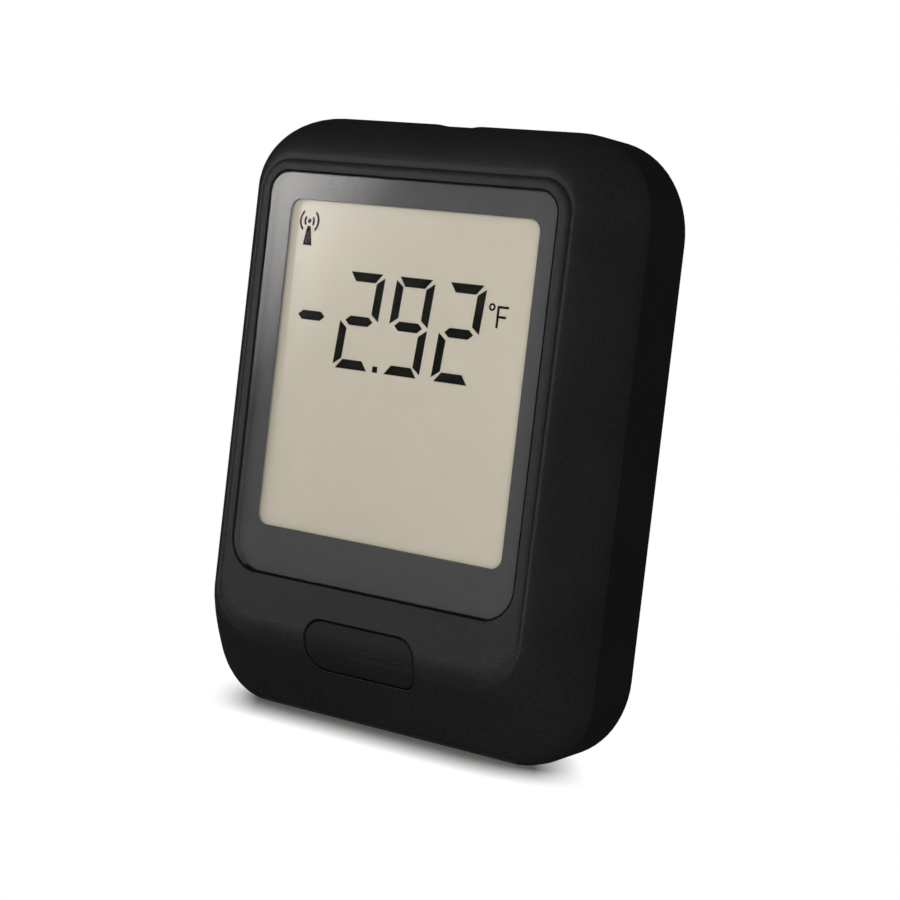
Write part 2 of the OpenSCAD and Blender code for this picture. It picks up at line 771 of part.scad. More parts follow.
module main_board() {
    notch_w = screw_side + boss_r + side_gap;
    notch_h = screw_end + boss_r + side_gap;
    color("#1f5a34") slab(board_front, board_back) difference() {
        plate(0, (board_top + board_low) / 2, board_w, board_top - board_low);
        for (p = screw_places)
            plate(sign(p[0]) * (case_w - notch_w) / 2, p[1] < case_h / 2 ? notch_h / 2 : case_h - notch_h / 2,
                notch_w, notch_h);
        for (p = post_places)
            translate(p) circle(board_screw_r + 2 * screw_gap);
    }
}

// Screw with its head's front face at depth seat, pointing to the front
module screw(p, seat, shank_r, length, head_r, head_t) {
    difference() {
        union() {
            slab(seat - length, seat) translate(p) circle(shank_r);
            slab(seat, seat + head_t) translate(p) circle(head_r);
        }
        slab(seat + head_t / 2, seat + head_t + over) translate(p)
            for (turn = [0, 90]) rotate(turn) plate(0, 0, 1.3 * head_r, head_r / 4);
    }
}

module board_screws() {
    color("#b9bcc0") for (p = post_places)
        screw(p, board_back, board_screw_r, board_screw_l, board_head_r, board_head_t);
}

module case_screws() {
    color("#3b3c3e") for (p = screw_places)
        screw(p, screw_seat, screw_r, screw_l, screw_head_r, screw_head_t);
}

// Cap that follows the chin's surface, hollow behind, with a flange that holds it in
module button_cap() {
    low = button_z - button_h / 2;
    high = button_z + button_h / 2;
    steps = 10;
    face = [for (i = [0:steps]) let (z = high - (high - low) * i / steps)
        [depth_at(z) + window_drop, z]];
    cap_back = flange_seat + flange_t;
    color("#1c1b19") union() {
        difference() {
            intersection() {
                slab(0, cap_back) pill(0);
                profile_bar(concat(face, [[cap_back + over, low], [cap_back + over, high]]));
            }
            intersection() {
                slab(-over, cap_back + over) pill(-button_wall);
                profile_bar(concat([for (p = face) [p[0] + button_wall, p[1]]],
                    [[cap_back + 2 * over, low], [cap_back + 2 * over, high]]));
            }
        }
        difference() {
            slab(flange_seat, cap_back) pill(flange_over);
            slab(flange_seat - over, cap_back + over) pill(-button_wall);
        }
        slab(depth_at(button_z) + button_wall / 2, plunger_front) translate([0, button_z]) circle(stem_r);
    }
}

// Depth of the chin's surface at height z
function depth_at(z) = z >= chin_flat_z ? 0
    : z >= roll_end_z ? chin_roll_r - sqrt(pow(chin_roll_r, 2) - pow(chin_flat_z - z, 2))
    : roll_end_depth + (roll_end_z - z) * tan(chin_angle);

// Outline of depth and height points, extruded across the button
module profile_bar(points) {
    translate([-button_w, -case_d / 2, 0]) rotate([90, 0, 90]) linear_extrude(2 * button_w) polygon(points);
}

module switch_base() {
    cup_r = shoulder_r + plunger_gap;
    cup_t = shoulder_t + button_travel + plunger_gap + dome_rise + dome_t;
    color("#2b2b2b") difference() {
        slab(switch_front + switch_cover_t, board_front) plate(0, button_z, switch_w, switch_h);
        slab(switch_front, switch_front + switch_cover_t + cup_t) translate([0, button_z]) circle(cup_r);
    }
}

module switch_cover() {
    color("#c9ccd0") difference() {
        slab(switch_front, switch_front + switch_cover_t) plate(0, button_z, switch_w, switch_h);
        slab(switch_front - over, switch_front + switch_cover_t + over) translate([0, button_z])
            circle(plunger_r + plunger_gap);
    }
}

module switch_dome() {
    base = switch_front + switch_cover_t + shoulder_t + button_travel + plunger_gap + dome_rise + dome_t;
    r = shoulder_r - plunger_gap;
    ball = (r * r + dome_rise * dome_rise) / (2 * dome_rise);
    arc = asin(r / ball);
    steps = 8;
    bow = [for (i = [0:steps]) let (a = arc * i / steps) [ball * sin(a), ball * cos(a) - ball + dome_rise]];
    color("#d8d2bc") translate([0, base - case_d / 2, button_z]) rotate([90, 0, 0])
        rotate_extrude() polygon(concat([for (i = [0:steps]) bow[i] + [0, dome_t]],
            [for (i = [steps:-1:0]) bow[i]]));
}

module switch_plunger() {
    color("#3a3936") union() {
        slab(plunger_front, switch_front + switch_cover_t + shoulder_t / 2)
            translate([0, button_z]) circle(plunger_r);
        slab(switch_front + switch_cover_t, switch_front + switch_cover_t + shoulder_t)
            translate([0, button_z]) circle(shoulder_r);
    }
}

radio_x = -board_w / 4 + wall;
radio_top = post_top_z - board_head_r - side_gap;
radio_back = board_back + radio_t;
antenna_h = radio_l / 4;

module radio_board() {
    color("#17355e") slab(board_back, radio_back) plate(radio_x, radio_top - radio_l / 2, radio_w, radio_l);
}

module radio_shield() {
    h = radio_l - antenna_h - wall / 2;
    color("#c4c7ca") slab(radio_back, radio_back + shield_t)
        plate(radio_x, radio_top - radio_l + h / 2 + wall / 4, radio_w - wall / 2, h);
}

// Printed track that runs to and fro along the free end of the radio board
module radio_antenna() {
    turns = 5;
    track = radio_w / 26;
    step = (radio_w - 4 * track) / turns;
    low = radio_top - antenna_h + track;
    high = radio_top - 2 * track;
    color("#c58a4a") slab(radio_back, radio_back + border_t) {
        for (i = [0:turns])
            plate(radio_x + (i - turns / 2) * step, (low + high) / 2, track, high - low);
        for (i = [0:turns - 1])
            plate(radio_x + (i - turns / 2 + 1 / 2) * step, i % 2 == 0 ? high : low, step + track, track);
    }
}

mcu_x = board_w / 6;
mcu_z = cell_mid_z + wall;

// Chip body with a row of pins on two sides, or on all four
module chip(x, z, w, h, t, pins, pitch, sides) {
    pin_w = pitch / 2;
    union() {
        slab(board_back + t / 10, board_back + t) plate(x, z, w, h);
        for (side = [-1, 1]) for (i = [0:pins - 1]) {
            slab(board_back, board_back + t / 2)
                plate(x + (i - (pins - 1) / 2) * pitch, z + side * h / 2, pin_w, 2 * pitch);
            if (sides == 4)
                slab(board_back, board_back + t / 2)
                    plate(x + side * w / 2, z + (i - (pins - 1) / 2) * pitch, 2 * pitch, pin_w);
        }
    }
}

module microcontroller() {
    color("#232326") chip(mcu_x, mcu_z, mcu_w, mcu_w, mcu_t, 11, mcu_w / 13, 4);
}

memory_z = mcu_z + mcu_w / 2 + memory_w + 2 * wall;

module memory_chip() {
    color("#262629") chip(mcu_x, memory_z, memory_l, memory_w, memory_t, 4, memory_l / 4.2, 2);
}

crystal_z = mcu_z - mcu_w / 2 - crystal_w - wall;

module crystal() {
    color("#cfd2d4") slab(board_back, board_back + crystal_t) {
        for (side = [-1, 1])
            translate([mcu_x + side * (crystal_l - crystal_w) / 2, crystal_z]) circle(crystal_w / 2);
        plate(mcu_x, crystal_z, crystal_l - crystal_w, crystal_w);
    }
}

sensor_x = -board_w / 2 + 2 * bead_r + wall;
sensor_z = post_low_z + post_r + 3 * bead_r;

// Bead with two legs that stands off the board
module temperature_sensor() {
    leg_r = bead_r / 4;
    color("#2f5b8a") union() {
        translate([sensor_x, board_back + 2 * bead_r - case_d / 2, sensor_z]) sphere(bead_r);
        for (side = [-1, 1])
            slab(board_back, board_back + 2 * bead_r)
                translate([sensor_x + side * bead_r / 2, sensor_z]) circle(leg_r);
    }
}

charger_x = -post_low_x + post_r + charger_w;
charger_z = post_low_z + post_r;

module charger_chip() {
    color("#28282b") slab(board_back, board_back + charger_t)
        plate(charger_x, charger_z, charger_w, charger_w);
}

module power_inductor() {
    x = charger_x + charger_w + inductor_w / 2;
    color("#4a4a4e") union() {
        slab(board_back, board_back + inductor_t / 4) plate(x, charger_z, inductor_w, inductor_w);
        slab(board_back, board_back + inductor_t) translate([x, charger_z]) circle(0.46 * inductor_w);
    }
}

// Chip part of two ends and a body, as one block with a thinner middle
module chip_part(x, z) {
    w = chip_l / 2;
    t = chip_l / 4;
    union() {
        slab(board_back, board_back + t) plate(x, z, 0.6 * chip_l, w);
        for (side = [-1, 1])
            slab(board_back, board_back + 1.1 * t) plate(x + side * 0.4 * chip_l, z, 0.2 * chip_l, 1.1 * w);
    }
}

module chip_resistors() {
    step = 2 * chip_l;
    color("#2c2c30") for (row = [0:1]) for (i = [-4:4])
        chip_part(mcu_x - mcu_w / 2 + i * step, crystal_z - crystal_w - row * step / 1.5);
}

module chip_capacitors() {
    step = 2 * chip_l;
    color("#b08d5b") for (column = [0:1]) for (i = [-3:3])
        chip_part(mcu_x + mcu_w / 2 + 3 * chip_l / 2 + (column + 1 / 2) * step / 1.2, mcu_z + i * step / 1.5);
}

// Shell outline of the socket, across x and depth, drawn in by inset
module usb_outline(inset) {
    w = usb_w / 2 - inset;
    t = usb_t / 2 - inset;
    polygon([[-w, -t], [w, -t], [w, t / 5], [0.8 * w, t], [-0.8 * w, t], [-w, t / 5]]);
}

// Piece of the socket drawn across x and depth, from height low to height high
module upright(low, high) {
    translate([0, usb_mid - case_d / 2, low]) linear_extrude(high - low) children();
}

module usb_shell() {
    color("#c9ccce") difference() {
        upright(usb_sink, usb_sink + usb_l) usb_outline(0);
        upright(usb_sink - over, usb_sink + usb_l - usb_sheet) usb_outline(usb_sheet);
    }
}

module usb_tongue() {
    color("#222224") union() {
        upright(usb_sink + usb_sheet, usb_sink + usb_l - usb_sheet)
            translate([0, -tongue_t / 2]) square([usb_w / 2, tongue_t], center = true);
        upright(usb_sink + usb_l / 2, usb_sink + usb_l - usb_sheet) usb_outline(usb_sheet);
    }
}

module usb_contacts() {
    pitch = usb_w / 12;
    color("#caa64a") for (i = [-2:2])
        upright(usb_sink + 2 * usb_sheet, usb_sink + usb_l / 2)
            translate([i * pitch, tongue_t / 8]) square([pitch / 2, tongue_t / 4], center = true);
}

module battery_cell() {
    color("#8d9196") union() {
        slab(cell_front, cell_back) rounded(cell_w, cell_low, cell_top, rib_w, rib_w);
        slab(terrace_front, terrace_front + terrace_t)
            plate(0, cell_low - terrace_h / 2 + rib_w, cell_w - 2 * rib_w, terrace_h + 2 * rib_w);
    }
}

module battery_circuit() {
    color("#2f6b3c") slab(circuit_front, terrace_front)
        plate(0, cell_low - terrace_h / 2, circuit_w, terrace_h - 2 * side_gap);
}

module battery_pad() {
    color("#303030") slab(cell_back, rear_inner)
        plate(0, cell_mid_z, cell_w - 4 * rib_w, cell_h - 4 * rib_w);
}

module battery_header() {
    cheek = (header_w - plug_w) / 2 - screw_gap;
    color("#e9e4d6") difference() {
        slab(board_back, board_back + header_t)
            plate(header_x, header_low + header_h / 2, header_w, header_h);
        slab(plug_mid - plug_t / 2 - screw_gap, board_back + header_t - cheek)
            plate(header_x, plug_low + plug_h / 2, header_w - 2 * cheek, plug_h);
    }
}

module battery_plug() {
    color("#f2eee2") slab(plug_mid - plug_t / 2, plug_mid + plug_t / 2 - 2 * screw_gap)
        plate(header_x, plug_low + plug_h / 2, plug_w, plug_h);
}

// Lead from the top of the plug up, and back in one bend to the battery's circuit, on the side given
module battery_lead(side) {
    bend_r = min(3 * lead_r, 0.9 * (circuit_front - plug_mid));
    low = plug_low + plug_h;
    high = cell_low - terrace_h / 2;
    translate([header_x + side * lead_step / 2, plug_mid - case_d / 2, 0]) union() {
        translate([0, 0, low]) cylinder(high - bend_r - low, r = lead_r);
        translate([0, bend_r, high - bend_r]) rotate([90, 0, -90])
            rotate_extrude(angle = 90) translate([bend_r, 0]) circle(lead_r);
        translate([0, bend_r, high]) rotate([-90, 0, 0])
            cylinder(circuit_front - plug_mid - bend_r, r = lead_r);
    }
}

module battery_lead_red() {
    color("#b3211c") battery_lead(-1);
}

module battery_lead_black() {
    color("#1b1b1b") battery_lead(1);
}

module rating_label() {
    color("#d5d5d2") slab(case_d - label_t, case_d)
        rounded(label_w, cell_mid_z - label_h / 2, cell_mid_z + label_h / 2, view_r, view_r);
}

front_case();
rear_case();
case_seal();
display_window();
window_border();
window_tape();
lcd_front_glass();
lcd_segments();
lcd_rear_glass();
lcd_reflector();
lcd_frame();
zebra_strip();
main_board();
board_screws();
case_screws();
button_cap();
switch_base();
switch_cover();
switch_dome();
switch_plunger();
radio_board();
radio_shield();
radio_antenna();
microcontroller();
memory_chip();
crystal();
temperature_sensor();
charger_chip();
power_inductor();
chip_resistors();
chip_capacitors();
usb_shell();
usb_tongue();
usb_contacts();
battery_cell();
battery_circuit();
battery_pad();
battery_header();
battery_plug();
battery_lead_red();
battery_lead_black();
rating_label();
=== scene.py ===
import math

import bpy
from mathutils import Matrix, Vector


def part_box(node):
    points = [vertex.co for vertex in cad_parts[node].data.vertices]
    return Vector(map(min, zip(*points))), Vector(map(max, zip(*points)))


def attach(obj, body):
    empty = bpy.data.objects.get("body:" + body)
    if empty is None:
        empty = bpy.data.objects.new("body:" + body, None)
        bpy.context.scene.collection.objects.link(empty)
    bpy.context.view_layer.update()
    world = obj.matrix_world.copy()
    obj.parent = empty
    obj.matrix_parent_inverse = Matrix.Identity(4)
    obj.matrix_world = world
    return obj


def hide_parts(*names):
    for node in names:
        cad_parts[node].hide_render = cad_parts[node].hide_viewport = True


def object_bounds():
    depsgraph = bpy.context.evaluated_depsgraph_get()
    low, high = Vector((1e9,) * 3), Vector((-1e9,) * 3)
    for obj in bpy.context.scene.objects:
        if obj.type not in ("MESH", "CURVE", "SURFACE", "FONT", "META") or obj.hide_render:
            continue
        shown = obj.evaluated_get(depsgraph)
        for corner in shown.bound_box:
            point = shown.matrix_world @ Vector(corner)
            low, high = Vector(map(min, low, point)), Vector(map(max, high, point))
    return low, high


# The object's sizes are in millimetres, as in the CAD, and become metres when a mesh is made.
# Camera, lamps, cards and floor are in metres, and angles of cards in degrees.
# The front faces -Y. A depth is counted from the front face, and a height from the underside.
MM = 0.001

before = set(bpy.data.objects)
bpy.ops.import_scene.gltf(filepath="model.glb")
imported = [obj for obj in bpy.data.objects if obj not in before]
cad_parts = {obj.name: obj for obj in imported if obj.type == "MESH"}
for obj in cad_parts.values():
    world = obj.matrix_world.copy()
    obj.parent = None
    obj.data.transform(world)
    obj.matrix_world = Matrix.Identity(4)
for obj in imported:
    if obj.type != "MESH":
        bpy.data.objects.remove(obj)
cad_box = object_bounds()


def node_size(node):
    """Size of a CAD node along x, y and z, in millimetres."""
    low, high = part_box(node)
    return (high - low) / MM


def node_depths(node):
    """Front and back depth of a CAD node, in millimetres."""
    low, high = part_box(node)
    return low.y / MM + CASE_D / 2, high.y / MM + CASE_D / 2


def node_heights(node):
    """Lowest and highest point of a CAD node, in millimetres."""
    low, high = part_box(node)
    return low.z / MM, high.z / MM


# Housing
CASE_W = (cad_box[1].x - cad_box[0].x) / MM
CASE_D = (cad_box[1].y - cad_box[0].y) / MM
CASE_H = (cad_box[1].z - cad_box[0].z) / MM
PART_DEPTH = node_depths("front_case")[1]
CORNER_R = 13.6
LOW_CORNER_R = 11.3
BACK_CORNER_R = 15.7
LOW_BACK_R = 14.6
WALL = 2.2
REAR_INNER = CASE_D - WALL
BACK_EDGE_R = 0.8
BACK_BAND = 0.4
JOINT_EDGE_R = 0.12

# Gap beside a part that is put in, and how far a cutter reaches past what it cuts
SIDE_GAP = 0.25
OVER = 0.5

# Rim and flanks of the front
FLANK_IN = 6.3
FLANK_DEPTH = 11.5
FLANK_POWER = 1.63
TOP_IN = 8.2
TOP_DEPTH = 12.2
TOP_POWER = 2
RIM_ROUND = 0.4
RIM_SOFT = 1.1
RIM_CORNER_R = 5.4

# Crease between rim and flank: inset and depth of its floor, and how it fades with the height
CREASE_DEPTH = 0.6
CREASE_FLOOR = ((6.3, 0.46), (6.26, 0.55), (6.14, 0.605), (6.0, 0.62))
BEFORE_CREASE = CREASE_DEPTH - 0.001
FLANK_START = CREASE_DEPTH + 0.03
CREASE_LEAST = 0.12
CREASE_FADE = (24.0, 62.0)
CREASE_SPREAD = 2.5
LEFT_FADE = (12.0, 24.0)
LEFT_SPREAD = 1.2

# Chin: a flat, a roll, a slope and the rounding to the underside
CHIN_CORNER_R = 8.0
CHIN_FLAT_Z = 15.6
CHIN_ROLL_R = 9.0
CHIN_ANGLE = math.radians(34)
BASE_ROUND_R = 4.0
ROLL_END_DEPTH = CHIN_ROLL_R * (1 - math.cos(CHIN_ANGLE))
ROLL_END_Z = CHIN_FLAT_Z - CHIN_ROLL_R * math.sin(CHIN_ANGLE)
SLOPE_FOOT = ROLL_END_DEPTH + ROLL_END_Z * math.tan(CHIN_ANGLE)
FOOT_TANGENT = BASE_ROUND_R * math.tan((math.pi / 2 - CHIN_ANGLE) / 2)
BASE_DEPTH = SLOPE_FOOT + FOOT_TANGENT
FOOT_DEPTH = SLOPE_FOOT - FOOT_TANGENT * math.sin(CHIN_ANGLE)

# Notch in the top edge
PRY_W = 10.0
PRY_T = 0.6
PRY_LEN = 8.5
PRY_BACK = 2.5

# Window
WINDOW_LOW, WINDOW_TOP = node_heights("display_window")
WINDOW_W = node_size("display_window").x
WINDOW_FRONT, WINDOW_BACK = node_depths("display_window")
WINDOW_TOP_R = 3.5
WINDOW_LOW_R = 5.4
WINDOW_GAP = 0.2
WINDOW_EDGE = 0.12
WINDOW_LIP_R = 0.3
BORDER_SIDE = 3.7
BORDER_TOP = 4.3
BORDER_LOW = 7.75
VIEW_R = 2.0
VIEW_SHIFT = 0.95

# Display and the land that bears the window
GLASS_LOW, GLASS_TOP = node_heights("lcd_front_glass")
GLASS_W = node_size("lcd_front_glass").x
GLASS_FRONT, GLASS_BACK = node_depths("lcd_front_glass")
GLASS_R = 0.3
GLASS_EDGE = 0.08
OPENING_R = 1.0
PANE_GAP = 0.03
LAND_FRONT = node_depths("window_tape")[1]
LAND_T = 1.2
FRAME_W = node_size("lcd_frame").x
BOARD_FRONT = node_depths("main_board")[0]

# Rounded mouths of openings: radius, and their reach outwards and forwards in shares of it
LIP_R = 0.18
FLARE_SPREAD = 1 / 3
FLARE_RISE = 1 / 12

# Button
BUTTON_W = 22.6
BUTTON_H = 8.2
BUTTON_R = 3.3
BUTTON_Z = 13.2
BUTTON_GAP = 0.2
BUTTON_WALL = 1.1
BUTTON_EDGE = 0.35
BUTTON_RIM = 0.5
BUTTON_SINK = 0.1
FLANGE_OVER = 1.3
FLANGE_SEAT = 5.0
FLANGE_BACK = node_depths("button_cap")[1]
STEM_R = 1.4
STEM_SINK = 0.15
STEM_BACK = node_depths("switch_plunger")[0]

# Case screws and posts of the board
SCREW_X = CASE_W / 2 - 8.0
SCREW_END = 9.0
SCREW_SEAT = PART_DEPTH + 4.0
SCREW_FRONT = SCREW_SEAT - 9.0
SCREW_HOLE_R = 1.3
SCREW_PASS_R = 1.425
SCREW_HEAD_HOLE_R = 2.45
SCREWS = [(side * SCREW_X, z) for side in (-1, 1) for z in (SCREW_END, CASE_H - SCREW_END)]
BOSS_R = 2.9
TUBE_R = 3.55
POST_R = 2.2
POST_HOLE_R = 1.0
POST_HOLE_FRONT = 4.7
POST_TOP_X = FRAME_W / 4
POST_TOP_Z = CASE_H - WALL - 2.6 * POST_R
POST_LOW_X = FRAME_W / 2 - 2 * POST_R
POST_LOW_Z = WINDOW_LOW - 1.6 * POST_R
POSTS = [(-POST_TOP_X, POST_TOP_Z), (POST_TOP_X, POST_TOP_Z),
         (-POST_LOW_X, POST_LOW_Z), (POST_LOW_X, POST_LOW_Z)]

# Socket, seal, label and battery tray
USB_ROOM = 0.4
USB_MID = sum(node_depths("usb_shell")) / 2
USB_CUT_W = node_size("usb_shell").x + USB_ROOM
USB_CUT_T = node_size("usb_shell").y + USB_ROOM
USB_CUT_TOP = WALL + 1.0 + OVER
SEAL_W = 0.9
SEAL_T = 0.8
LABEL_W = node_size("rating_label").x
LABEL_LOW, LABEL_TOP = node_heights("rating_label")
LABEL_GAP = 0.125
LABEL_R = 2.0
CELL_LOW, CELL_TOP = node_heights("battery_cell")
CELL_W = node_size("battery_cell").x
TRAY_MOUTH = 0.75 * CELL_W
RIB_T = 4.0
RIB_W = 1.0

# Fineness of the meshes, in steps, and how rings crowd towards the front
CORNER_STEPS = 16
HIDDEN_STEPS = 8
GLASS_STEPS = 4
DISC_STEPS = 48
FLANK_STEPS = 34
FLANK_CROWD = 1.7
HOLLOW_STEPS = 10
HOLLOW_CROWD = 1.3
REAR_STEPS = 4
ROUND_STEPS = 5
RIM_STEPS = 8
JOINT_STEPS = 3
BACK_STEPS = 6
END_STEPS = 4

# Shading: angles from which edges are sharp, and cosines for telling which way faces look
SKIN_SHARP = math.radians(28)
NODE_SHARP = math.radians(30)
NORMAL_WEIGHT = 60
FLAT_FRONT = 0.99999
TURNED = 0.5
CHIN_NEAR = 0.02
CHIN_ALIGNED = 0.85
CHIN_TILT = 0.003

# Camera, solved from the corners of the display in the photo
CAMERA_SENSOR = 36.0
CAMERA_LENS = 96.0
CAMERA_CLIP = (0.01, 50.0)
CAMERA_PLACE = Vector((0.23924, -0.30952, 0.07127))
CAMERA_RIGHT = Vector((0.78778, 0.6052, 0.11458))
CAMERA_DOWN = Vector((0.12868, 0.02022, -0.99148))
CAMERA_FORWARD = Vector((-0.60236, 0.79581, -0.06195))

# Lamps
WORLD_LEVEL = 0.5
LAMP_AIM = Vector((0, 0, 0.06))
KEY_PLACE = Vector((0.45, -0.6, 0.1))
KEY_SIZE = (0.5, 0.2)
KEY_POWER = 4.7
FILL_PLACE = Vector((-0.35, 0.65, 0.13))
FILL_SIZE = (0.5, 0.25)
FILL_POWER = 4.5

# Floor and the object's shadow on it
FLOOR_HALF = 6.0
FLOOR_COLOUR = (0.7, 0.7, 0.7, 1)
FLOOR_ROUGHNESS = 0.9
SHADOW_COLOUR = (0.1, 0.095, 0.09, 1)
SHADOW_REACH = 0.0105
SHADOW_RANGE = (0.28, 0.97)
SHADOW_SAMPLES = 12
CONTACT_ALONG = (0.788, 0.605, 0.0)
CONTACT_MID = -0.0005
CONTACT_HALF = 0.023
CONTACT_FADE = 0.0078

# Dark flags that reflections show, and the level of their glow
DULL = 0.03
CURTAIN_AZIMUTHS = (-180.0, 180.0)
CURTAIN_ELEVATIONS = (-5.0, 90.0)
CURTAIN_RADIUS = 2.0
CURTAIN_STEPS = 32
FLAG_HOLE = (0.027, -0.0035, 0.013)
FLAG_HEIGHT = 0.0003
FLAG_HALF = CURTAIN_RADIUS * 1.1

# Softbox at the left
BOX_AZIMUTHS = (-62.0, -12.0)
BOX_ELEVATIONS = (-4.0, 8.0)
BOX_RADIUS = 1.3
BOX_HEIGHT = 0.05
BOX_LEVEL = 7.2
BOX_FADE = 0.25
BOX_STEPS = 16

# Card that the window mirrors: its place and corners, and the ranges over which its glow rises
CARD_TOWARD = Vector((-0.627, -0.779, 0))
CARD_ALONG = Vector((0.779, -0.627, 0))
CARD_CORNERS = ((-0.17, 0.0), (0.14, 0.0), (0.14, 0.24), (-0.17, 0.24))
GLARE_ACROSS = (-0.077, -0.003)
GLARE_DOWN = (0.137, 0.007)
GLARE_RISE = (-1, 0.1)
GLARE_LEVEL = 11.22
GLARE_COLOUR = (1, 0.97, 0.94, 1)

# Surfaces
WHITE = (1, 1, 1, 1)
NOISE_RANGE = (0.3, 0.7)
TONE_RANGE = (0.7, 1.3)
METAL_GRAIN = 900
METAL_SHADE = 0.85
METAL_BUMP = 0.00001
PANE_GRAIN = 260
PANE_TINT = (0.97, 0.97, 0.97, 1)
PANE_ROUGHNESS = 0.06
PANE_SHINE = 0.045
COATED_SHINE = 0.002
FRESNEL_POWER = 5.0


# Camera

def make_camera():
    """Camera that matches the photo."""
    cam = bpy.data.cameras.new("camera")
    cam.sensor_width = CAMERA_SENSOR
    cam.lens = CAMERA_LENS
    cam.clip_start, cam.clip_end = CAMERA_CLIP
    obj = bpy.data.objects.new("camera", cam)
    bpy.context.scene.collection.objects.link(obj)
    axes = Matrix((CAMERA_RIGHT, -CAMERA_DOWN, -CAMERA_FORWARD)).transposed()
    obj.matrix_world = Matrix.Translation(CAMERA_PLACE) @ axes.to_4x4()
    bpy.context.scene.camera = obj


# Shape of the moulded skin

def round_share(t, power):
    """Share of an inset that is left at share t of the way along a rounded flank."""
    t = min(max(t, 0.0), 1.0)
    return 1 - (1 - (1 - t) ** power) ** (1 / power)


def side_inset(d):
    """How far the flanks are drawn in from the case's sides at depth d."""
    if d < CREASE_DEPTH:
        return FLANK_IN
    return (FLANK_IN - RIM_ROUND) * round_share((d - CREASE_DEPTH) / FLANK_DEPTH, FLANK_POWER)


def top_inset(d):
    """How far the top is drawn in at depth d."""
    if d < CREASE_DEPTH:
        return TOP_IN
    return (TOP_IN - RIM_ROUND) * round_share((d - CREASE_DEPTH) / TOP_DEPTH, TOP_POWER)


def chin_height(d):
    """Lowest height of the skin at depth d."""
    if d >= BASE_DEPTH:
        return 0.0
    if d > FOOT_DEPTH:
        return BASE_ROUND_R - math.sqrt(BASE_ROUND_R ** 2 - (BASE_DEPTH - d) ** 2)
    if d > ROLL_END_DEPTH:
        return ROLL_END_Z - (d - ROLL_END_DEPTH) / math.tan(CHIN_ANGLE)
    return CHIN_FLAT_Z - math.sqrt(CHIN_ROLL_R ** 2 - (CHIN_ROLL_R - max(d, 0)) ** 2)


def chin_depth(z):
    """Depth of the chin's surface at height z, above the rounding to the underside."""
    if z >= CHIN_FLAT_Z:
        return 0.0
    if z >= ROLL_END_Z:
        return CHIN_ROLL_R - math.sqrt(CHIN_ROLL_R ** 2 - (CHIN_FLAT_Z - z) ** 2)
    return ROLL_END_DEPTH + (ROLL_END_Z - z) * math.tan(CHIN_ANGLE)


def chin_normal(z):
    """Outward direction of the flat front, the chin's roll and its slope at height z."""
    sine = (CHIN_FLAT_Z - z) / CHIN_ROLL_R
    turn = math.asin(min(max(sine, 0), math.sin(CHIN_ANGLE)))
    return Vector((0, -math.cos(turn), -math.sin(turn)))


def upper_corner(d):
    """Radius of the skin's upper corners at depth d."""
    return CORNER_R - (CORNER_R - RIM_CORNER_R) * min(side_inset(d) / FLANK_IN, 1)


def lower_corner(d):
    """Radius of the skin's lower corners at depth d."""
    return LOW_CORNER_R - (LOW_CORNER_R - CHIN_CORNER_R) * min(side_inset(d) / FLANK_IN, 1)


def rounded(w, low, top, low_r, top_r, steps=CORNER_STEPS):
    """Outline points of a rectangle with rounded corners in x and z, anticlockwise from the
    right side's upper end."""
    points = []
    for corner in range(4):
        r = top_r if corner < 2 else low_r
        x = w / 2 - r if corner in (0, 3) else r - w / 2
        z = top - r if corner < 2 else low + r
        for i in range(steps + 1):
            a = math.pi / 2 * (corner + i / steps)
            points.append((x + r * math.cos(a), z + r * math.sin(a)))
    return points


def at_depth(outline, d):
    """Ring of points at one depth."""
    return [(x, d, z) for x, z in outline]


def quarter_turn(steps, first=0):
    """Sine and cosine of evenly spaced angles up to a right angle."""
    for i in range(first, steps + 1):
        a = math.pi / 2 * i / steps
        yield math.sin(a), math.cos(a)


def crease_share(z, fade):
    """How much of the step between rim and flank is left at height z. It fades downwards."""
    t = min(max((z - fade[0]) / (fade[1] - fade[0]), 0), 1)
    return CREASE_LEAST + (1 - CREASE_LEAST) * t * t * (3 - 2 * t)


def creased(d, z, k):
    """Depth of a ring's point k at height z, where the ring has depth d: the flank comes forward
    as the step fades, early on the right and late on the left, and not along the chin."""
    corner, i = divmod(k, CORNER_STEPS + 1)
    turn = math.pi / 2 * i / CORNER_STEPS
    weight = {2: math.cos(turn), 3: math.sin(turn)}.get(corner, 1.0)
    on_left = corner in (1, 2)
    fade, reach = (LEFT_FADE, LEFT_SPREAD) if on_left else (CREASE_FADE, CREASE_SPREAD)
    lost = weight * (1 - crease_share(z, fade))
    if d <= FLANK_START:
        return d * (1 - lost)
    return d - lost * CREASE_DEPTH * math.exp(-((d - CREASE_DEPTH) / reach) ** 2)


def front_ring(d, extra=0.0, low_extra=None):
    """Ring of the front skin at depth d, drawn in by extra, and by low_extra at the chin."""
    low = chin_height(d) + (extra if low_extra is None else low_extra)
    outline = rounded(CASE_W - 2 * (side_inset(d) + extra), low, CASE_H - top_inset(d) - extra,
                      lower_corner(d) - extra, upper_corner(d) - extra)
    return [(x, creased(d, z, k), z) for k, (x, z) in enumerate(outline)]


def hollow_ring(d):
    """Ring of the front shell's inside at depth d, about a wall's thickness off the skin."""
    out = max(d - WALL, 0)
    mid = max(d - WALL / 2, CREASE_DEPTH)
    low = max(chin_height(max(d - WALL / math.cos(CHIN_ANGLE), 0)), WALL)
    outline = rounded(CASE_W - 2 * (side_inset(mid) + WALL), low, CASE_H - top_inset(mid) - WALL,
                      max(lower_corner(out) - WALL, WALL), max(upper_corner(out) - WALL, WALL))
    return at_depth(outline, d)


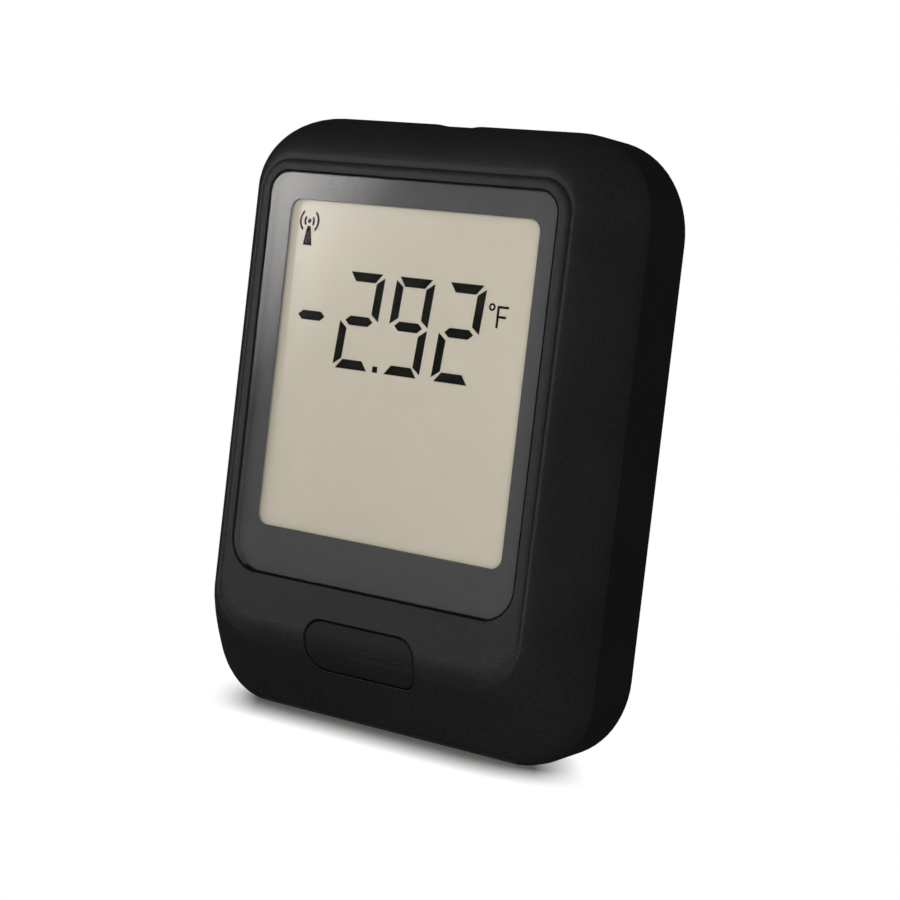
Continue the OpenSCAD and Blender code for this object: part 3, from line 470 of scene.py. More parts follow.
def rear_ring(d, inset):
    """Ring of the rear skin at depth d, drawn in by inset."""
    t = (d - PART_DEPTH) / (CASE_D - PART_DEPTH)
    low_r = LOW_CORNER_R + (LOW_BACK_R - LOW_CORNER_R) * t - inset
    top_r = CORNER_R + (BACK_CORNER_R - CORNER_R) * t - inset
    return at_depth(rounded(CASE_W - 2 * inset, inset, CASE_H - inset, low_r, top_r), d)


# Mesh helpers

def new_object(name, verts, faces):
    """Object from points given as x, depth and height in millimetres."""
    mesh = bpy.data.meshes.new(name)
    points = [(x * MM, (d - CASE_D / 2) * MM, z * MM) for x, d, z in verts]
    mesh.from_pydata(points, [], faces)
    mesh.update()
    obj = bpy.data.objects.new(name, mesh)
    bpy.context.scene.collection.objects.link(obj)
    return obj


def ring_walls(rows, count):
    """Faces between rows of as many points each, and the face that closes the last row."""
    faces = []
    for k in range(rows - 1):
        for i in range(count):
            j = (i + 1) % count
            faces.append((k * count + i, (k + 1) * count + i, (k + 1) * count + j, k * count + j))
    last = (rows - 1) * count
    faces.append(tuple(last + i for i in range(count - 1, -1, -1)))
    return faces


def loft(name, rings):
    """Closed mesh through rings that run anticlockwise seen from the front, front to back."""
    n = len(rings[0])
    return new_object(name, [p for ring in rings for p in ring],
                      [tuple(range(n))] + ring_walls(len(rings), n))


def prism(outline, d0, d1):
    """Straight cutter or boss from depth d0 to d1."""
    return loft("cutter", [at_depth(outline, d0), at_depth(outline, d1)])


def disc(x, z, r):
    """Round outline."""
    angles = [2 * math.pi * i / DISC_STEPS for i in range(DISC_STEPS)]
    return [(x + r * math.cos(a), z + r * math.sin(a)) for a in angles]


def box_outline(x0, x1, z0, z1):
    """Outline with four corners."""
    return [(x1, z0), (x1, z1), (x0, z1), (x0, z0)]


def pill(extra):
    """Outline of the button, grown by extra."""
    return rounded(BUTTON_W + 2 * extra, BUTTON_Z - BUTTON_H / 2 - extra,
                   BUTTON_Z + BUTTON_H / 2 + extra, BUTTON_R + extra, BUTTON_R + extra)


def combine(obj, others, operation):
    """Joins the others to obj or cuts them from it, one after the other, and deletes them."""
    for other in others:
        mod = obj.modifiers.new("combine", "BOOLEAN")
        mod.operation = operation
        mod.solver = "MANIFOLD"
        mod.object = other
        graph = bpy.context.evaluated_depsgraph_get()
        mesh = bpy.data.meshes.new_from_object(obj.evaluated_get(graph))
        obj.modifiers.remove(mod)
        old = obj.data
        obj.data = mesh
        bpy.data.meshes.remove(old)
        bpy.data.objects.remove(other)


def cut(obj, *others):
    """Cuts the others from obj."""
    combine(obj, others, "DIFFERENCE")


def join(obj, *others):
    """Joins the others to obj."""
    combine(obj, others, "UNION")


def smooth(obj):
    """Smooth shading with sharp edges kept, also round a flat front, and normals that follow the
    larger faces."""
    mesh = obj.data
    for poly in mesh.polygons:
        poly.use_smooth = True
    mesh.set_sharp_from_angle(angle=SKIN_SHARP)
    sides = {}
    for poly in mesh.polygons:
        for key in poly.edge_keys:
            sides.setdefault(key, set()).add(poly.normal.y < -FLAT_FRONT)
    for edge in mesh.edges:
        if len(sides[edge.key]) == 2:
            edge.use_edge_sharp = True
    mod = obj.modifiers.new("weighted_normals", "WEIGHTED_NORMAL")
    mod.keep_sharp = True
    mod.weight = NORMAL_WEIGHT


def shade_chin(obj, sink):
    """Sets the weighted normals for good, with the true ones on the front and the chin, or on a
    cap sunk into them: the long strips that cross them would otherwise pull on the shading from
    their far ends."""
    mesh = obj.data
    weighted = obj.evaluated_get(bpy.context.evaluated_depsgraph_get()).data
    normals = [corner.vector.copy() for corner in weighted.corner_normals]
    on_chin = {}
    for vert in mesh.vertices:
        z = vert.co.z / MM
        if abs(vert.co.y / MM + CASE_D / 2 - chin_depth(z) - sink) < CHIN_NEAR:
            on_chin[vert.index] = chin_normal(z)
    strips = set()
    for poly in mesh.polygons:
        if all(v in on_chin for v in poly.vertices) and abs(poly.normal.x) < CHIN_TILT:
            strips.update(poly.vertices)
    for poly in mesh.polygons:
        for i in poly.loop_indices:
            v = mesh.loops[i].vertex_index
            if v in strips and poly.normal.dot(on_chin[v]) > CHIN_ALIGNED:
                normals[i] = on_chin[v]
    obj.modifiers.clear()
    mesh.normals_split_custom_set(normals)


def level(d):
    """A flat surface, given as its depth by height."""
    return lambda z: d


def sunk(amount):
    """A surface that lies behind the chin's by the given amount, as its depth by height."""
    return lambda z: chin_depth(z) + amount


def flared_cutter(outline_at, depth_of, back, lip):
    """Cutter with a rounded-over mouth of radius lip. outline_at(extra) is the hole grown by
    extra, and depth_of(z) is the depth of the surface that it cuts."""
    def ring(extra, behind):
        return [(x, depth_of(z) + behind, z) for x, z in outline_at(extra)]

    rings = [ring(lip * (1 + FLARE_SPREAD), -OVER), ring(lip, -lip * FLARE_RISE)]
    rings += [ring(lip * (1 - s), lip * (1 - c)) for s, c in quarter_turn(ROUND_STEPS, 1)]
    rings.append(at_depth(outline_at(0), back))
    return loft("cutter", rings)


# Front shell

def pry_cutter():
    """Cutter for the notch in the top edge."""
    return prism(box_outline(-PRY_W / 2, PRY_W / 2, CASE_H - PRY_T, CASE_H + PRY_T),
                 PART_DEPTH + PRY_BACK - PRY_LEN, PART_DEPTH + PRY_BACK)


def window_outline(extra):
    """Outline of the window, grown by extra."""
    return rounded(WINDOW_W + 2 * extra, WINDOW_LOW - extra, WINDOW_TOP + extra,
                   WINDOW_LOW_R + extra, WINDOW_TOP_R + extra)


def front_skin_rings():
    """Rings of the front shell's outside: rim, floor of the crease, flank and joint edge."""
    rings = [front_ring(RIM_ROUND * (1 - c), RIM_SOFT * (1 - s), 0.0)
             for s, c in quarter_turn(RIM_STEPS)]
    for inset, d in CREASE_FLOOR:
        ring = front_ring(min(d, BEFORE_CREASE), inset - FLANK_IN, 0.0)
        rings.append([(x, creased(d, z, k), z) for k, (x, _, z) in enumerate(ring)])
    length = PART_DEPTH - JOINT_EDGE_R - FLANK_START
    rings += [front_ring(FLANK_START + (i / FLANK_STEPS) ** FLANK_CROWD * length)
              for i in range(FLANK_STEPS + 1)]
    for s, c in quarter_turn(JOINT_STEPS, 1):
        ring = front_ring(PART_DEPTH, JOINT_EDGE_R * (1 - c))
        rings.append([(x, PART_DEPTH - JOINT_EDGE_R * (1 - s), z) for x, _, z in ring])
    return rings


def make_front_hollow():
    """Inside of the front shell, less the bosses, the posts, the land and the button's collar."""
    depths = [WALL + (i / HOLLOW_STEPS) ** HOLLOW_CROWD * (PART_DEPTH - WALL)
              for i in range(HOLLOW_STEPS + 1)]
    mouth = [(x, d + OVER, z) for x, d, z in hollow_ring(PART_DEPTH)]
    hollow = loft("hollow", [hollow_ring(d) for d in depths] + [mouth])
    land = rounded(FRAME_W + WALL, WINDOW_LOW - WALL, WINDOW_TOP + WALL, WINDOW_LOW_R,
                   WINDOW_TOP_R, HIDDEN_STEPS)
    margin = FLANGE_OVER + SIDE_GAP + WALL / 2
    collar_top = min(BUTTON_Z + (BUTTON_H + 2 * margin) / 2, WINDOW_LOW)
    collar = rounded(BUTTON_W + 2 * margin, BUTTON_Z - (BUTTON_H + 2 * margin) / 2, collar_top,
                     BUTTON_R, BUTTON_R, HIDDEN_STEPS)
    cut(hollow,
        *[prism(disc(x, z, BOSS_R), FLANGE_SEAT, PART_DEPTH) for x, z in SCREWS],
        *[prism(disc(x, z, POST_R), WALL - OVER, BOARD_FRONT) for x, z in POSTS],
        prism(land, WALL - OVER, LAND_FRONT + LAND_T),
        prism(collar, WALL - OVER, FLANGE_SEAT))
    return hollow


def make_front_shell():
    """Front shell with its openings for the window, the button, the socket and the screws."""
    shell = loft("front_shell", front_skin_rings())
    cut(shell, make_front_hollow())
    opening = rounded(GLASS_W + 2 * SIDE_GAP, GLASS_LOW - SIDE_GAP, GLASS_TOP + SIDE_GAP,
                      OPENING_R, OPENING_R, HIDDEN_STEPS)
    cut(shell,
        flared_cutter(lambda extra: window_outline(WINDOW_GAP + extra), level(0.0), LAND_FRONT,
                      WINDOW_LIP_R),
        prism(opening, OVER, LAND_FRONT + LAND_T + OVER),
        flared_cutter(lambda extra: pill(BUTTON_GAP + extra), chin_depth, FLANGE_SEAT + OVER,
                      LIP_R),
        prism(pill(FLANGE_OVER + SIDE_GAP), FLANGE_SEAT, BOARD_FRONT),
        *[prism(disc(x, z, SCREW_HOLE_R), SCREW_FRONT, PART_DEPTH + OVER) for x, z in SCREWS],
        *[prism(disc(x, z, POST_HOLE_R), POST_HOLE_FRONT, BOARD_FRONT + OVER)
          for x, z in POSTS],
        prism(box_outline(-USB_CUT_W / 2, USB_CUT_W / 2, -OVER, USB_CUT_TOP),
              USB_MID - USB_CUT_T / 2, USB_MID + USB_CUT_T / 2),
        pry_cutter())
    smooth(shell)
    shade_chin(shell, 0)
    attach(shell, "housing")
    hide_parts("front_case")
    return shell


# Rear shell

def joint_outline(inset):
    """Outline of the case at its joint, drawn in by inset."""
    return rounded(CASE_W - 2 * inset, inset, CASE_H - inset, LOW_CORNER_R - inset,
                   CORNER_R - inset)


def joint_band(inset_out, inset_in, d0, d1):
    """Closed band that runs round the case between two insets, from depth d0 to d1."""
    outer, inner = joint_outline(inset_out), joint_outline(inset_in)
    n = len(outer)
    verts = [(x, d, z) for d in (d0, d1) for outline in (outer, inner) for x, z in outline]
    faces = []
    for i in range(n):
        j = (i + 1) % n
        faces.append((i, 2 * n + i, 2 * n + j, j))
        faces.append((n + j, 3 * n + j, 3 * n + i, n + i))
        faces.append((j, n + j, n + i, i))
        faces.append((2 * n + i, 3 * n + i, 3 * n + j, 2 * n + j))
    return new_object("band", verts, faces)


def rear_skin_rings():
    """Rings of the rear shell's outside: joint edge, sides, rounded edge and the back's rim."""
    rings = []
    for s, c in quarter_turn(JOINT_STEPS):
        ring = rear_ring(PART_DEPTH, JOINT_EDGE_R * (1 - s))
        rings.append([(x, PART_DEPTH + JOINT_EDGE_R * (1 - c), z) for x, _, z in ring])
    length = CASE_D - BACK_EDGE_R - PART_DEPTH
    rings += [rear_ring(PART_DEPTH + i / REAR_STEPS * length, 0) for i in range(1, REAR_STEPS)]
    rings += [rear_ring(CASE_D - BACK_EDGE_R * (1 - s), BACK_EDGE_R * (1 - c))
              for s, c in quarter_turn(BACK_STEPS)]
    rings.append(rear_ring(CASE_D, BACK_EDGE_R + BACK_BAND))
    return rings


def make_tray():
    """Ribs round the battery, open at the bottom for its leads."""
    low = CELL_LOW - SIDE_GAP
    high = CELL_TOP + SIDE_GAP
    half = CELL_W / 2 + SIDE_GAP
    tray = prism(rounded(2 * (half + RIB_W), low - RIB_W, high + RIB_W, RIB_W, RIB_W,
                         HIDDEN_STEPS), REAR_INNER - RIB_T, REAR_INNER + OVER)
    front, back = REAR_INNER - 2 * RIB_T, REAR_INNER + 2 * OVER
    mouth = box_outline(-TRAY_MOUTH / 2, TRAY_MOUTH / 2, low - 2 * RIB_W, low + RIB_W)
    cut(tray, prism(box_outline(-half, half, low, high), front, back), prism(mouth, front, back))
    return tray


def recess_cutter(x, z):
    """Cutter for a screw's recess in the back, with a softened mouth."""
    soft = LIP_R * FLARE_SPREAD
    steps = ((0, SCREW_SEAT), (0, CASE_D - LIP_R), (soft, CASE_D - soft),
             (LIP_R, CASE_D + LIP_R * FLARE_RISE), (LIP_R, CASE_D + OVER))
    return loft("cutter", [at_depth(disc(x, z, SCREW_HEAD_HOLE_R + extra), d)
                           for extra, d in steps])


def make_rear_shell():
    """Rear shell with its lip, screw tubes, battery tray and recesses."""
    shell = loft("rear_shell", rear_skin_rings())
    hollow = loft("hollow", [rear_ring(PART_DEPTH - OVER, WALL), rear_ring(REAR_INNER, WALL)])
    tray = make_tray()
    cut(hollow, *[prism(disc(x, z, TUBE_R), PART_DEPTH, REAR_INNER + OVER) for x, z in SCREWS],
        tray)
    cut(shell, hollow)
    lip_in = WALL + SIDE_GAP
    lip = joint_band(lip_in, lip_in + WALL / 3, PART_DEPTH - WALL / 2, PART_DEPTH + WALL / 2)
    root = joint_band(WALL - SIDE_GAP / 2, lip_in + WALL / 4, PART_DEPTH + JOINT_EDGE_R,
                      PART_DEPTH + WALL / 2)
    gap = (USB_CUT_W + WALL) / 2
    for band in (lip, root):
        cut(band, prism(box_outline(-gap, gap, -OVER, 2 * WALL), PART_DEPTH - WALL,
                        PART_DEPTH + WALL))
    join(shell, lip, root)
    label = rounded(LABEL_W + 2 * LABEL_GAP, LABEL_LOW - LABEL_GAP, LABEL_TOP + LABEL_GAP,
                    LABEL_R, LABEL_R, HIDDEN_STEPS)
    cut(shell,
        joint_band((WALL - SEAL_W) / 2, (WALL + SEAL_W) / 2, PART_DEPTH - OVER,
                   PART_DEPTH + SEAL_T),
        prism(label, node_depths("rating_label")[0], CASE_D + OVER),
        *[prism(disc(x, z, SCREW_PASS_R), PART_DEPTH - OVER, SCREW_SEAT + OVER)
          for x, z in SCREWS],
        *[recess_cutter(x, z) for x, z in SCREWS],
        pry_cutter())
    smooth(shell)
    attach(shell, "housing")
    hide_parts("rear_case")
    return shell


# Button cap, window and display glass

def button_ring(extra, depth_of):
    """Ring of the button's outline, grown by extra, with points along its straight ends too."""
    points = pill(extra)
    n = CORNER_STEPS + 1
    ends = []
    for (x0, z0), (x1, z1) in ((points[2 * n - 1], points[2 * n]), (points[-1], points[0])):
        ends.append([(x0 + (x1 - x0) * i / END_STEPS, z0 + (z1 - z0) * i / END_STEPS)
                     for i in range(1, END_STEPS)])
    outline = points[:2 * n] + ends[0] + points[2 * n:] + ends[1]
    return [(x, depth_of(z), z) for x, z in outline]


def button_solid(name, rings):
    """Closed mesh through rings of the button's outline. Its front face is made of strips across
    the button, so that each is flat and the face curves only from top to bottom."""
    count = len(rings[0])
    n = CORNER_STEPS + 1
    right = list(range(n - 1, -1, -1)) + list(range(count - 1, 3 * n + END_STEPS - 2, -1))
    left = list(range(n, 3 * n + END_STEPS - 1))
    strips = [(right[i], left[i], left[i + 1], right[i + 1]) for i in range(len(left) - 1)]
    return new_object(name, [p for ring in rings for p in ring],
                      strips + ring_walls(len(rings), count))


def make_button():
    """Cap that follows the chin, with a rounded edge, hollow behind, with its flange and stem."""
    rings = [button_ring(-BUTTON_EDGE - BUTTON_RIM, sunk(BUTTON_SINK))]
    rings += [button_ring(-BUTTON_EDGE * (1 - s), sunk(BUTTON_SINK + BUTTON_EDGE * (1 - c)))
              for s, c in quarter_turn(ROUND_STEPS + 1)]
    rings += [button_ring(0, level(FLANGE_SEAT - SIDE_GAP)),
              button_ring(0, level(FLANGE_SEAT + SIDE_GAP))]
    cap = button_solid("button_cap_skin", rings)
    join(cap, prism(pill(FLANGE_OVER), FLANGE_SEAT, FLANGE_BACK))
    cut(cap, button_solid("cutter", [
        button_ring(-BUTTON_WALL, sunk(BUTTON_SINK + BUTTON_WALL)),
        button_ring(-BUTTON_WALL, level(FLANGE_BACK + OVER))]))
    stem_front = chin_depth(BUTTON_Z - STEM_R) + BUTTON_SINK + STEM_SINK
    join(cap, prism(disc(0, BUTTON_Z, STEM_R), stem_front, STEM_BACK))
    smooth(cap)
    shade_chin(cap, BUTTON_SINK)
    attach(cap, "button")
    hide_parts("button_cap")
    return cap


def pane(name, outline_at, front, back, edge, node, view=None):
    """Clear plate with a fine chamfer at the front, in place of a CAD node. It ends just short of
    what lies against its back, so that no two faces fall together. A view outline makes a face of
    its own in the front."""
    rings = [at_depth(outline_at(-edge), front), at_depth(outline_at(0), front + edge),
             at_depth(outline_at(0), back - PANE_GAP)]
    if view is not None:
        rings.insert(0, at_depth(view, front))
    obj = loft(name, rings)
    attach(obj, "housing")
    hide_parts(node)
    return obj


def view_outline():
    """Part of the window's front through which the display shows, seen from where the photo was
    taken."""
    outline = rounded(WINDOW_W - 2 * BORDER_SIDE, WINDOW_LOW + BORDER_LOW,
                      WINDOW_TOP - BORDER_TOP, VIEW_R, VIEW_R)
    return [(x + VIEW_SHIFT, z) for x, z in outline]


def glass_outline(extra):
    """Outline of the display's front glass, grown by extra."""
    return rounded(GLASS_W + 2 * extra, GLASS_LOW - extra, GLASS_TOP + extra, GLASS_R, GLASS_R,
                   GLASS_STEPS)


# Materials

def material(name):
    """New node material, its node tree and its Principled shader."""
    mat = bpy.data.materials.new(name)
    mat.use_nodes = True
    return mat, mat.node_tree, mat.node_tree.nodes["Principled BSDF"]


def srgb(r, g, b):
    """Linear colour from 0 to 255 screen values."""
    linear = [((c / 255 + 0.055) / 1.055) ** 2.4 if c > 10 else c / 255 / 12.92
              for c in (r, g, b)]
    return tuple(linear) + (1,)


def coordinates(tree):
    """Place on the object, in its own coordinates."""
    return tree.nodes.new("ShaderNodeTexCoord").outputs["Object"]


def noise(tree, scale, detail=2.0, roughness=0.5):
    """Soft noise from 0 to 1."""
    node = tree.nodes.new("ShaderNodeTexNoise")
    node.inputs["Scale"].default_value = scale
    node.inputs["Detail"].default_value = detail
    node.inputs["Roughness"].default_value = roughness
    tree.links.new(coordinates(tree), node.inputs["Vector"])
    return node.outputs["Fac"]


def maths(tree, operation, *values):
    """Output of a math node that takes numbers or outputs of other nodes."""
    node = tree.nodes.new("ShaderNodeMath")
    node.operation = operation
    for socket, value in zip(node.inputs, values):
        if isinstance(value, (int, float)):
            socket.default_value = value
        else:
            tree.links.new(value, socket)
    return node.outputs["Value"]


def spread(tree, value, low, high, out_low, out_high):
    """Value stretched from one range to another."""
    node = tree.nodes.new("ShaderNodeMapRange")
    node.inputs["From Min"].default_value = low
    node.inputs["From Max"].default_value = high
    node.inputs["To Min"].default_value = out_low
    node.inputs["To Max"].default_value = out_high
    tree.links.new(value, node.inputs["Value"])
    return node.outputs["Result"]


def blend_colours(tree, value, a, b):
    """Colour a where the value is 0 and b where it is 1."""
    node = tree.nodes.new("ShaderNodeMix")
    node.data_type = "RGBA"
    node.inputs["A"].default_value = a
    node.inputs["B"].default_value = b
    tree.links.new(value, node.inputs["Factor"])
    return node.outputs["Result"]


def bump(tree, height, distance, strength):
    """Normal of a surface with a fine relief."""
    node = tree.nodes.new("ShaderNodeBump")
    node.inputs["Distance"].default_value = distance
    node.inputs["Strength"].default_value = strength
    tree.links.new(height, node.inputs["Height"])
    return node.outputs["Normal"]


def plastic(name, dark, light, rough=(0.42, 0.56), grain=5200, depth=0.00003, strength=0.5,
            specular=0.5, variation=60):
    """Moulded plastic: two close tones that vary softly, a fine grain, and roughness that follows
    it. The tones are screen values."""
    mat, tree, shader = material(name)
    soft = noise(tree, variation, 3.0)
    fine = noise(tree, grain, 1.0, 0.6)
    tone = spread(tree, maths(tree, "ADD", soft, fine), *TONE_RANGE, 0, 1)
    tree.links.new(blend_colours(tree, tone, srgb(*dark), srgb(*light)),
                   shader.inputs["Base Color"])
    tree.links.new(spread(tree, fine, *NOISE_RANGE, *rough), shader.inputs["Roughness"])
    tree.links.new(bump(tree, fine, depth, strength), shader.inputs["Normal"])
    shader.inputs["Specular IOR Level"].default_value = specular
    return mat


def metal(name, colour, rough=(0.22, 0.4)):
    """Bare metal with a fine grain."""
    mat, tree, shader = material(name)
    fine = noise(tree, METAL_GRAIN, 3.0, 0.6)
    shaded = tuple(c * METAL_SHADE for c in colour[:3]) + (1,)
    tree.links.new(blend_colours(tree, fine, shaded, colour), shader.inputs["Base Color"])
    tree.links.new(spread(tree, fine, *NOISE_RANGE, *rough), shader.inputs["Roughness"])
    tree.links.new(bump(tree, fine, METAL_BUMP, 0.3), shader.inputs["Normal"])
    shader.inputs["Metallic"].default_value = 1.0
    return mat


def clear(name, tint, roughness, shine):
    """Clear pane without bending of light: a glossy coat over a transparent sheet. Shine is the
    coat's share when seen straight on, and it rises to all at a grazing view."""
    mat, tree, shader = material(name)
    nodes, links = tree.nodes, tree.links
    see = nodes.new("ShaderNodeBsdfTransparent")
    see.inputs["Color"].default_value = tint
    coat = nodes.new("ShaderNodeBsdfGlossy")
    fine = noise(tree, PANE_GRAIN, 2.0)
    links.new(spread(tree, fine, *NOISE_RANGE, roughness * 0.8, roughness * 1.25),
              coat.inputs["Roughness"])
    edge = nodes.new("ShaderNodeLayerWeight")
    edge.inputs["Blend"].default_value = 0.5
    steep = maths(tree, "POWER", edge.outputs["Facing"], FRESNEL_POWER)
    mix = nodes.new("ShaderNodeMixShader")
    links.new(spread(tree, steep, 0, 1, shine, 1), mix.inputs["Fac"])
    links.new(see.outputs["BSDF"], mix.inputs[1])
    links.new(coat.outputs["BSDF"], mix.inputs[2])
    links.new(mix.outputs["Shader"], nodes["Material Output"].inputs["Surface"])
    nodes.remove(shader)
    return mat


def dress(obj, *mats):
    """Gives an object these materials, the first one on all its faces."""
    obj.data.materials.clear()
    for mat in mats:
        obj.data.materials.append(mat)


def dress_window(obj, glossy, coated, ink, dark):
    """Glossy front over the border, coated front over the display and coated back. The sides are
    inked like the border on the left, where they show through the pane, and dark like the rear
    shell where the open gap shows them: painted shade in the gap round the window."""
    dress(obj, glossy, coated, ink, dark)
    polygons = obj.data.polygons
    for poly in polygons:
        if abs(poly.normal.y) < TURNED:
            # Left-facing sides show through the pane and get the ink; the others show in the open
            # gap and get the dark plastic, a painted shade in that gap.
            poly.material_index = 2 if poly.normal.x < -TURNED else 3
        else:
            poly.material_index = int(poly.index in (0, len(polygons) - 1))


def paint_back(obj, mat):
    """Another finish on the faces that look to the back."""
    obj.data.materials.append(mat)
    for poly in obj.data.polygons:
        if poly.normal.y > TURNED:
            poly.material_index = len(obj.data.materials) - 1


def smooth_node(name):
    """Smooth shading on a CAD node's round faces. Its points stay as they are."""
    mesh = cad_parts[name].data
    for poly in mesh.polygons:
        poly.use_smooth = True
    mesh.set_sharp_from_angle(angle=NODE_SHARP)


# Stage

def staged_mesh(name, verts, faces):
    """Mesh of the stage, in metres, that isn't part of the object."""
    mesh = bpy.data.meshes.new(name)
    mesh.from_pydata(verts, [], faces)
    obj = bpy.data.objects.new(name, mesh)
    bpy.context.scene.collection.objects.link(obj)
    return obj


def seen_rays(tree):
    """1 for rays of the camera, of reflections and through glass, and 0 for all others."""
    path = tree.nodes.new("ShaderNodeLightPath").outputs
    seen = maths(tree, "MAXIMUM", path["Is Camera Ray"], path["Is Glossy Ray"])
    return maths(tree, "MAXIMUM", seen, path["Is Transmission Ray"])


def make_floor():
    """Pale floor that lights the object. The camera, reflections and glass see white in its
    place, darkened close to the object, except past the ends of its foot."""
    half = FLOOR_HALF
    floor = staged_mesh("floor", [(-half, -half, 0), (half, -half, 0), (half, half, 0),
                                  (-half, half, 0)], [(0, 1, 2, 3)])
    mat, tree, shader = material("floor")
    nodes, links = tree.nodes, tree.links
    shader.inputs["Base Color"].default_value = FLOOR_COLOUR
    shader.inputs["Roughness"].default_value = FLOOR_ROUGHNESS
    shader.inputs["Specular IOR Level"].default_value = 0.0
    near = nodes.new("ShaderNodeAmbientOcclusion")
    near.inputs["Distance"].default_value = SHADOW_REACH
    near.samples = SHADOW_SAMPLES
    along = nodes.new("ShaderNodeVectorMath")
    along.operation = "DOT_PRODUCT"
    along.inputs[1].default_value = CONTACT_ALONG
    links.new(coordinates(tree), along.inputs[0])
    offset = maths(tree, "SUBTRACT", along.outputs["Value"], CONTACT_MID)
    cleared = spread(tree, maths(tree, "ABSOLUTE", offset), CONTACT_HALF,
                     CONTACT_HALF + CONTACT_FADE, 1, 0)
    shadowed = spread(tree, near.outputs["AO"], *SHADOW_RANGE, 1, 0)
    kept = maths(tree, "MULTIPLY", shadowed, cleared)
    glow = nodes.new("ShaderNodeEmission")
    links.new(blend_colours(tree, kept, WHITE, SHADOW_COLOUR), glow.inputs["Color"])
    mix = nodes.new("ShaderNodeMixShader")
    links.new(seen_rays(tree), mix.inputs["Fac"])
    links.new(shader.outputs["BSDF"], mix.inputs[1])
    links.new(glow.outputs["Emission"], mix.inputs[2])
    links.new(mix.outputs["Shader"], nodes["Material Output"].inputs["Surface"])
    dress(floor, mat)


def make_world():
    """White to the camera, in reflections and through glass, and an even soft light on the
    object."""
    world = bpy.data.worlds.new("world")
    bpy.context.scene.world = world
    world.use_nodes = True
    tree = world.node_tree
    tree.links.new(spread(tree, seen_rays(tree), 0, 1, WORLD_LEVEL, 1.0),
                   tree.nodes["Background"].inputs["Strength"])
    tree.nodes["Background"].inputs["Color"].default_value = WHITE


def area_light(name, place, size, power):
    """Lamp aimed at the object, which neither the camera nor reflections show."""
    light = bpy.data.lights.new(name, "AREA")
    light.shape = "RECTANGLE"
    light.size, light.size_y = size
    light.energy = power
    obj = bpy.data.objects.new(name, light)
    bpy.context.scene.collection.objects.link(obj)
    obj.location = place
    obj.rotation_euler = (LAMP_AIM - place).to_track_quat("-Z", "Y").to_euler()
    obj.visible_camera = False
    obj.visible_glossy = False


def make_card(card, mat, strength, colour=WHITE):
    """Gives a mesh of the stage a glow that only reflections show. Its strength is a number or
    the output of a node."""
    tree = mat.node_tree
    glow = tree.nodes.new("ShaderNodeEmission")
    glow.inputs["Color"].default_value = colour
    if isinstance(strength, float):
        glow.inputs["Strength"].default_value = strength
    else:
        tree.links.new(strength, glow.inputs["Strength"])
    tree.links.new(glow.outputs["Emission"], tree.nodes["Material Output"].inputs["Surface"])
    dress(card, mat)
    card.visible_camera = False
    card.visible_shadow = False
    card.visible_diffuse = False
    card.visible_transmission = False


def round_sheet(name, azimuths, elevations, radius, height, steps):
    """Piece of a sphere round the object. Azimuth 0 is in front, and a positive one lies to the
    right."""
    verts, faces = [], []
    for j in range(steps + 1):
        e = math.radians(elevations[0] + (elevations[1] - elevations[0]) * j / steps)
        for i in range(steps + 1):
            a = math.radians(azimuths[0] + (azimuths[1] - azimuths[0]) * i / steps)
            verts.append((radius * math.sin(a) * math.cos(e),
                          -radius * math.cos(a) * math.cos(e), height + radius * math.sin(e)))
    for j in range(steps):
        for i in range(steps):
            k = j * (steps + 1) + i
            faces.append((k, k + 1, k + steps + 2, k + steps + 1))
    return staged_mesh(name, verts, faces)


def map_corners(mesh, name, places):
    """UV map that gives each point of a mesh its place."""
    layer = mesh.uv_layers.new(name=name)
    for loop in mesh.loops:
        layer.data[loop.index].uv = places[loop.vertex_index]


def map_axes(tree):
    """The two parts of a place on the UV map."""
    split = tree.nodes.new("ShaderNodeSeparateXYZ")
    tree.links.new(tree.nodes.new("ShaderNodeTexCoord").outputs["UV"], split.inputs["Vector"])
    return split.outputs["X"], split.outputs["Y"]


def make_flags():
    """Dark studio flags: a curtain all round, and one over the floor with an opening for the
    foot."""
    curtain = round_sheet("curtain", CURTAIN_AZIMUTHS, CURTAIN_ELEVATIONS, CURTAIN_RADIUS, 0,
                          CURTAIN_STEPS)
    x, front, back = FLAG_HOLE
    far = FLAG_HALF
    inner = [(-x, front), (x, front), (x, back), (-x, back)]
    outer = [(-far, -far), (far, -far), (far, far), (-far, far)]
    floor_flag = staged_mesh("floor_flag", [(px, py, FLAG_HEIGHT) for px, py in inner + outer],
                             [(i, (i + 1) % 4, 4 + (i + 1) % 4, 4 + i) for i in range(4)])
    for flag in (curtain, floor_flag):
        make_card(flag, material(flag.name)[0], DULL)


def make_softbox():
    """Bright card at the left, whose edges fade over a share of its width and height."""
    card = round_sheet("left_softbox", BOX_AZIMUTHS, BOX_ELEVATIONS, BOX_RADIUS, BOX_HEIGHT,
                       BOX_STEPS)
    shares = [i / BOX_STEPS for i in range(BOX_STEPS + 1)]
    map_corners(card.data, "share", [(across, up) for up in shares for across in shares])
    mat, tree, _ = material("left_softbox")
    value = 1.0
    for along in map_axes(tree):
        for edge, inner in ((0, BOX_FADE), (1, 1 - BOX_FADE)):
            value = maths(tree, "MULTIPLY", value, spread(tree, along, edge, inner, 0, 1))
    make_card(card, mat, spread(tree, value, 0, 1, DULL, BOX_LEVEL))


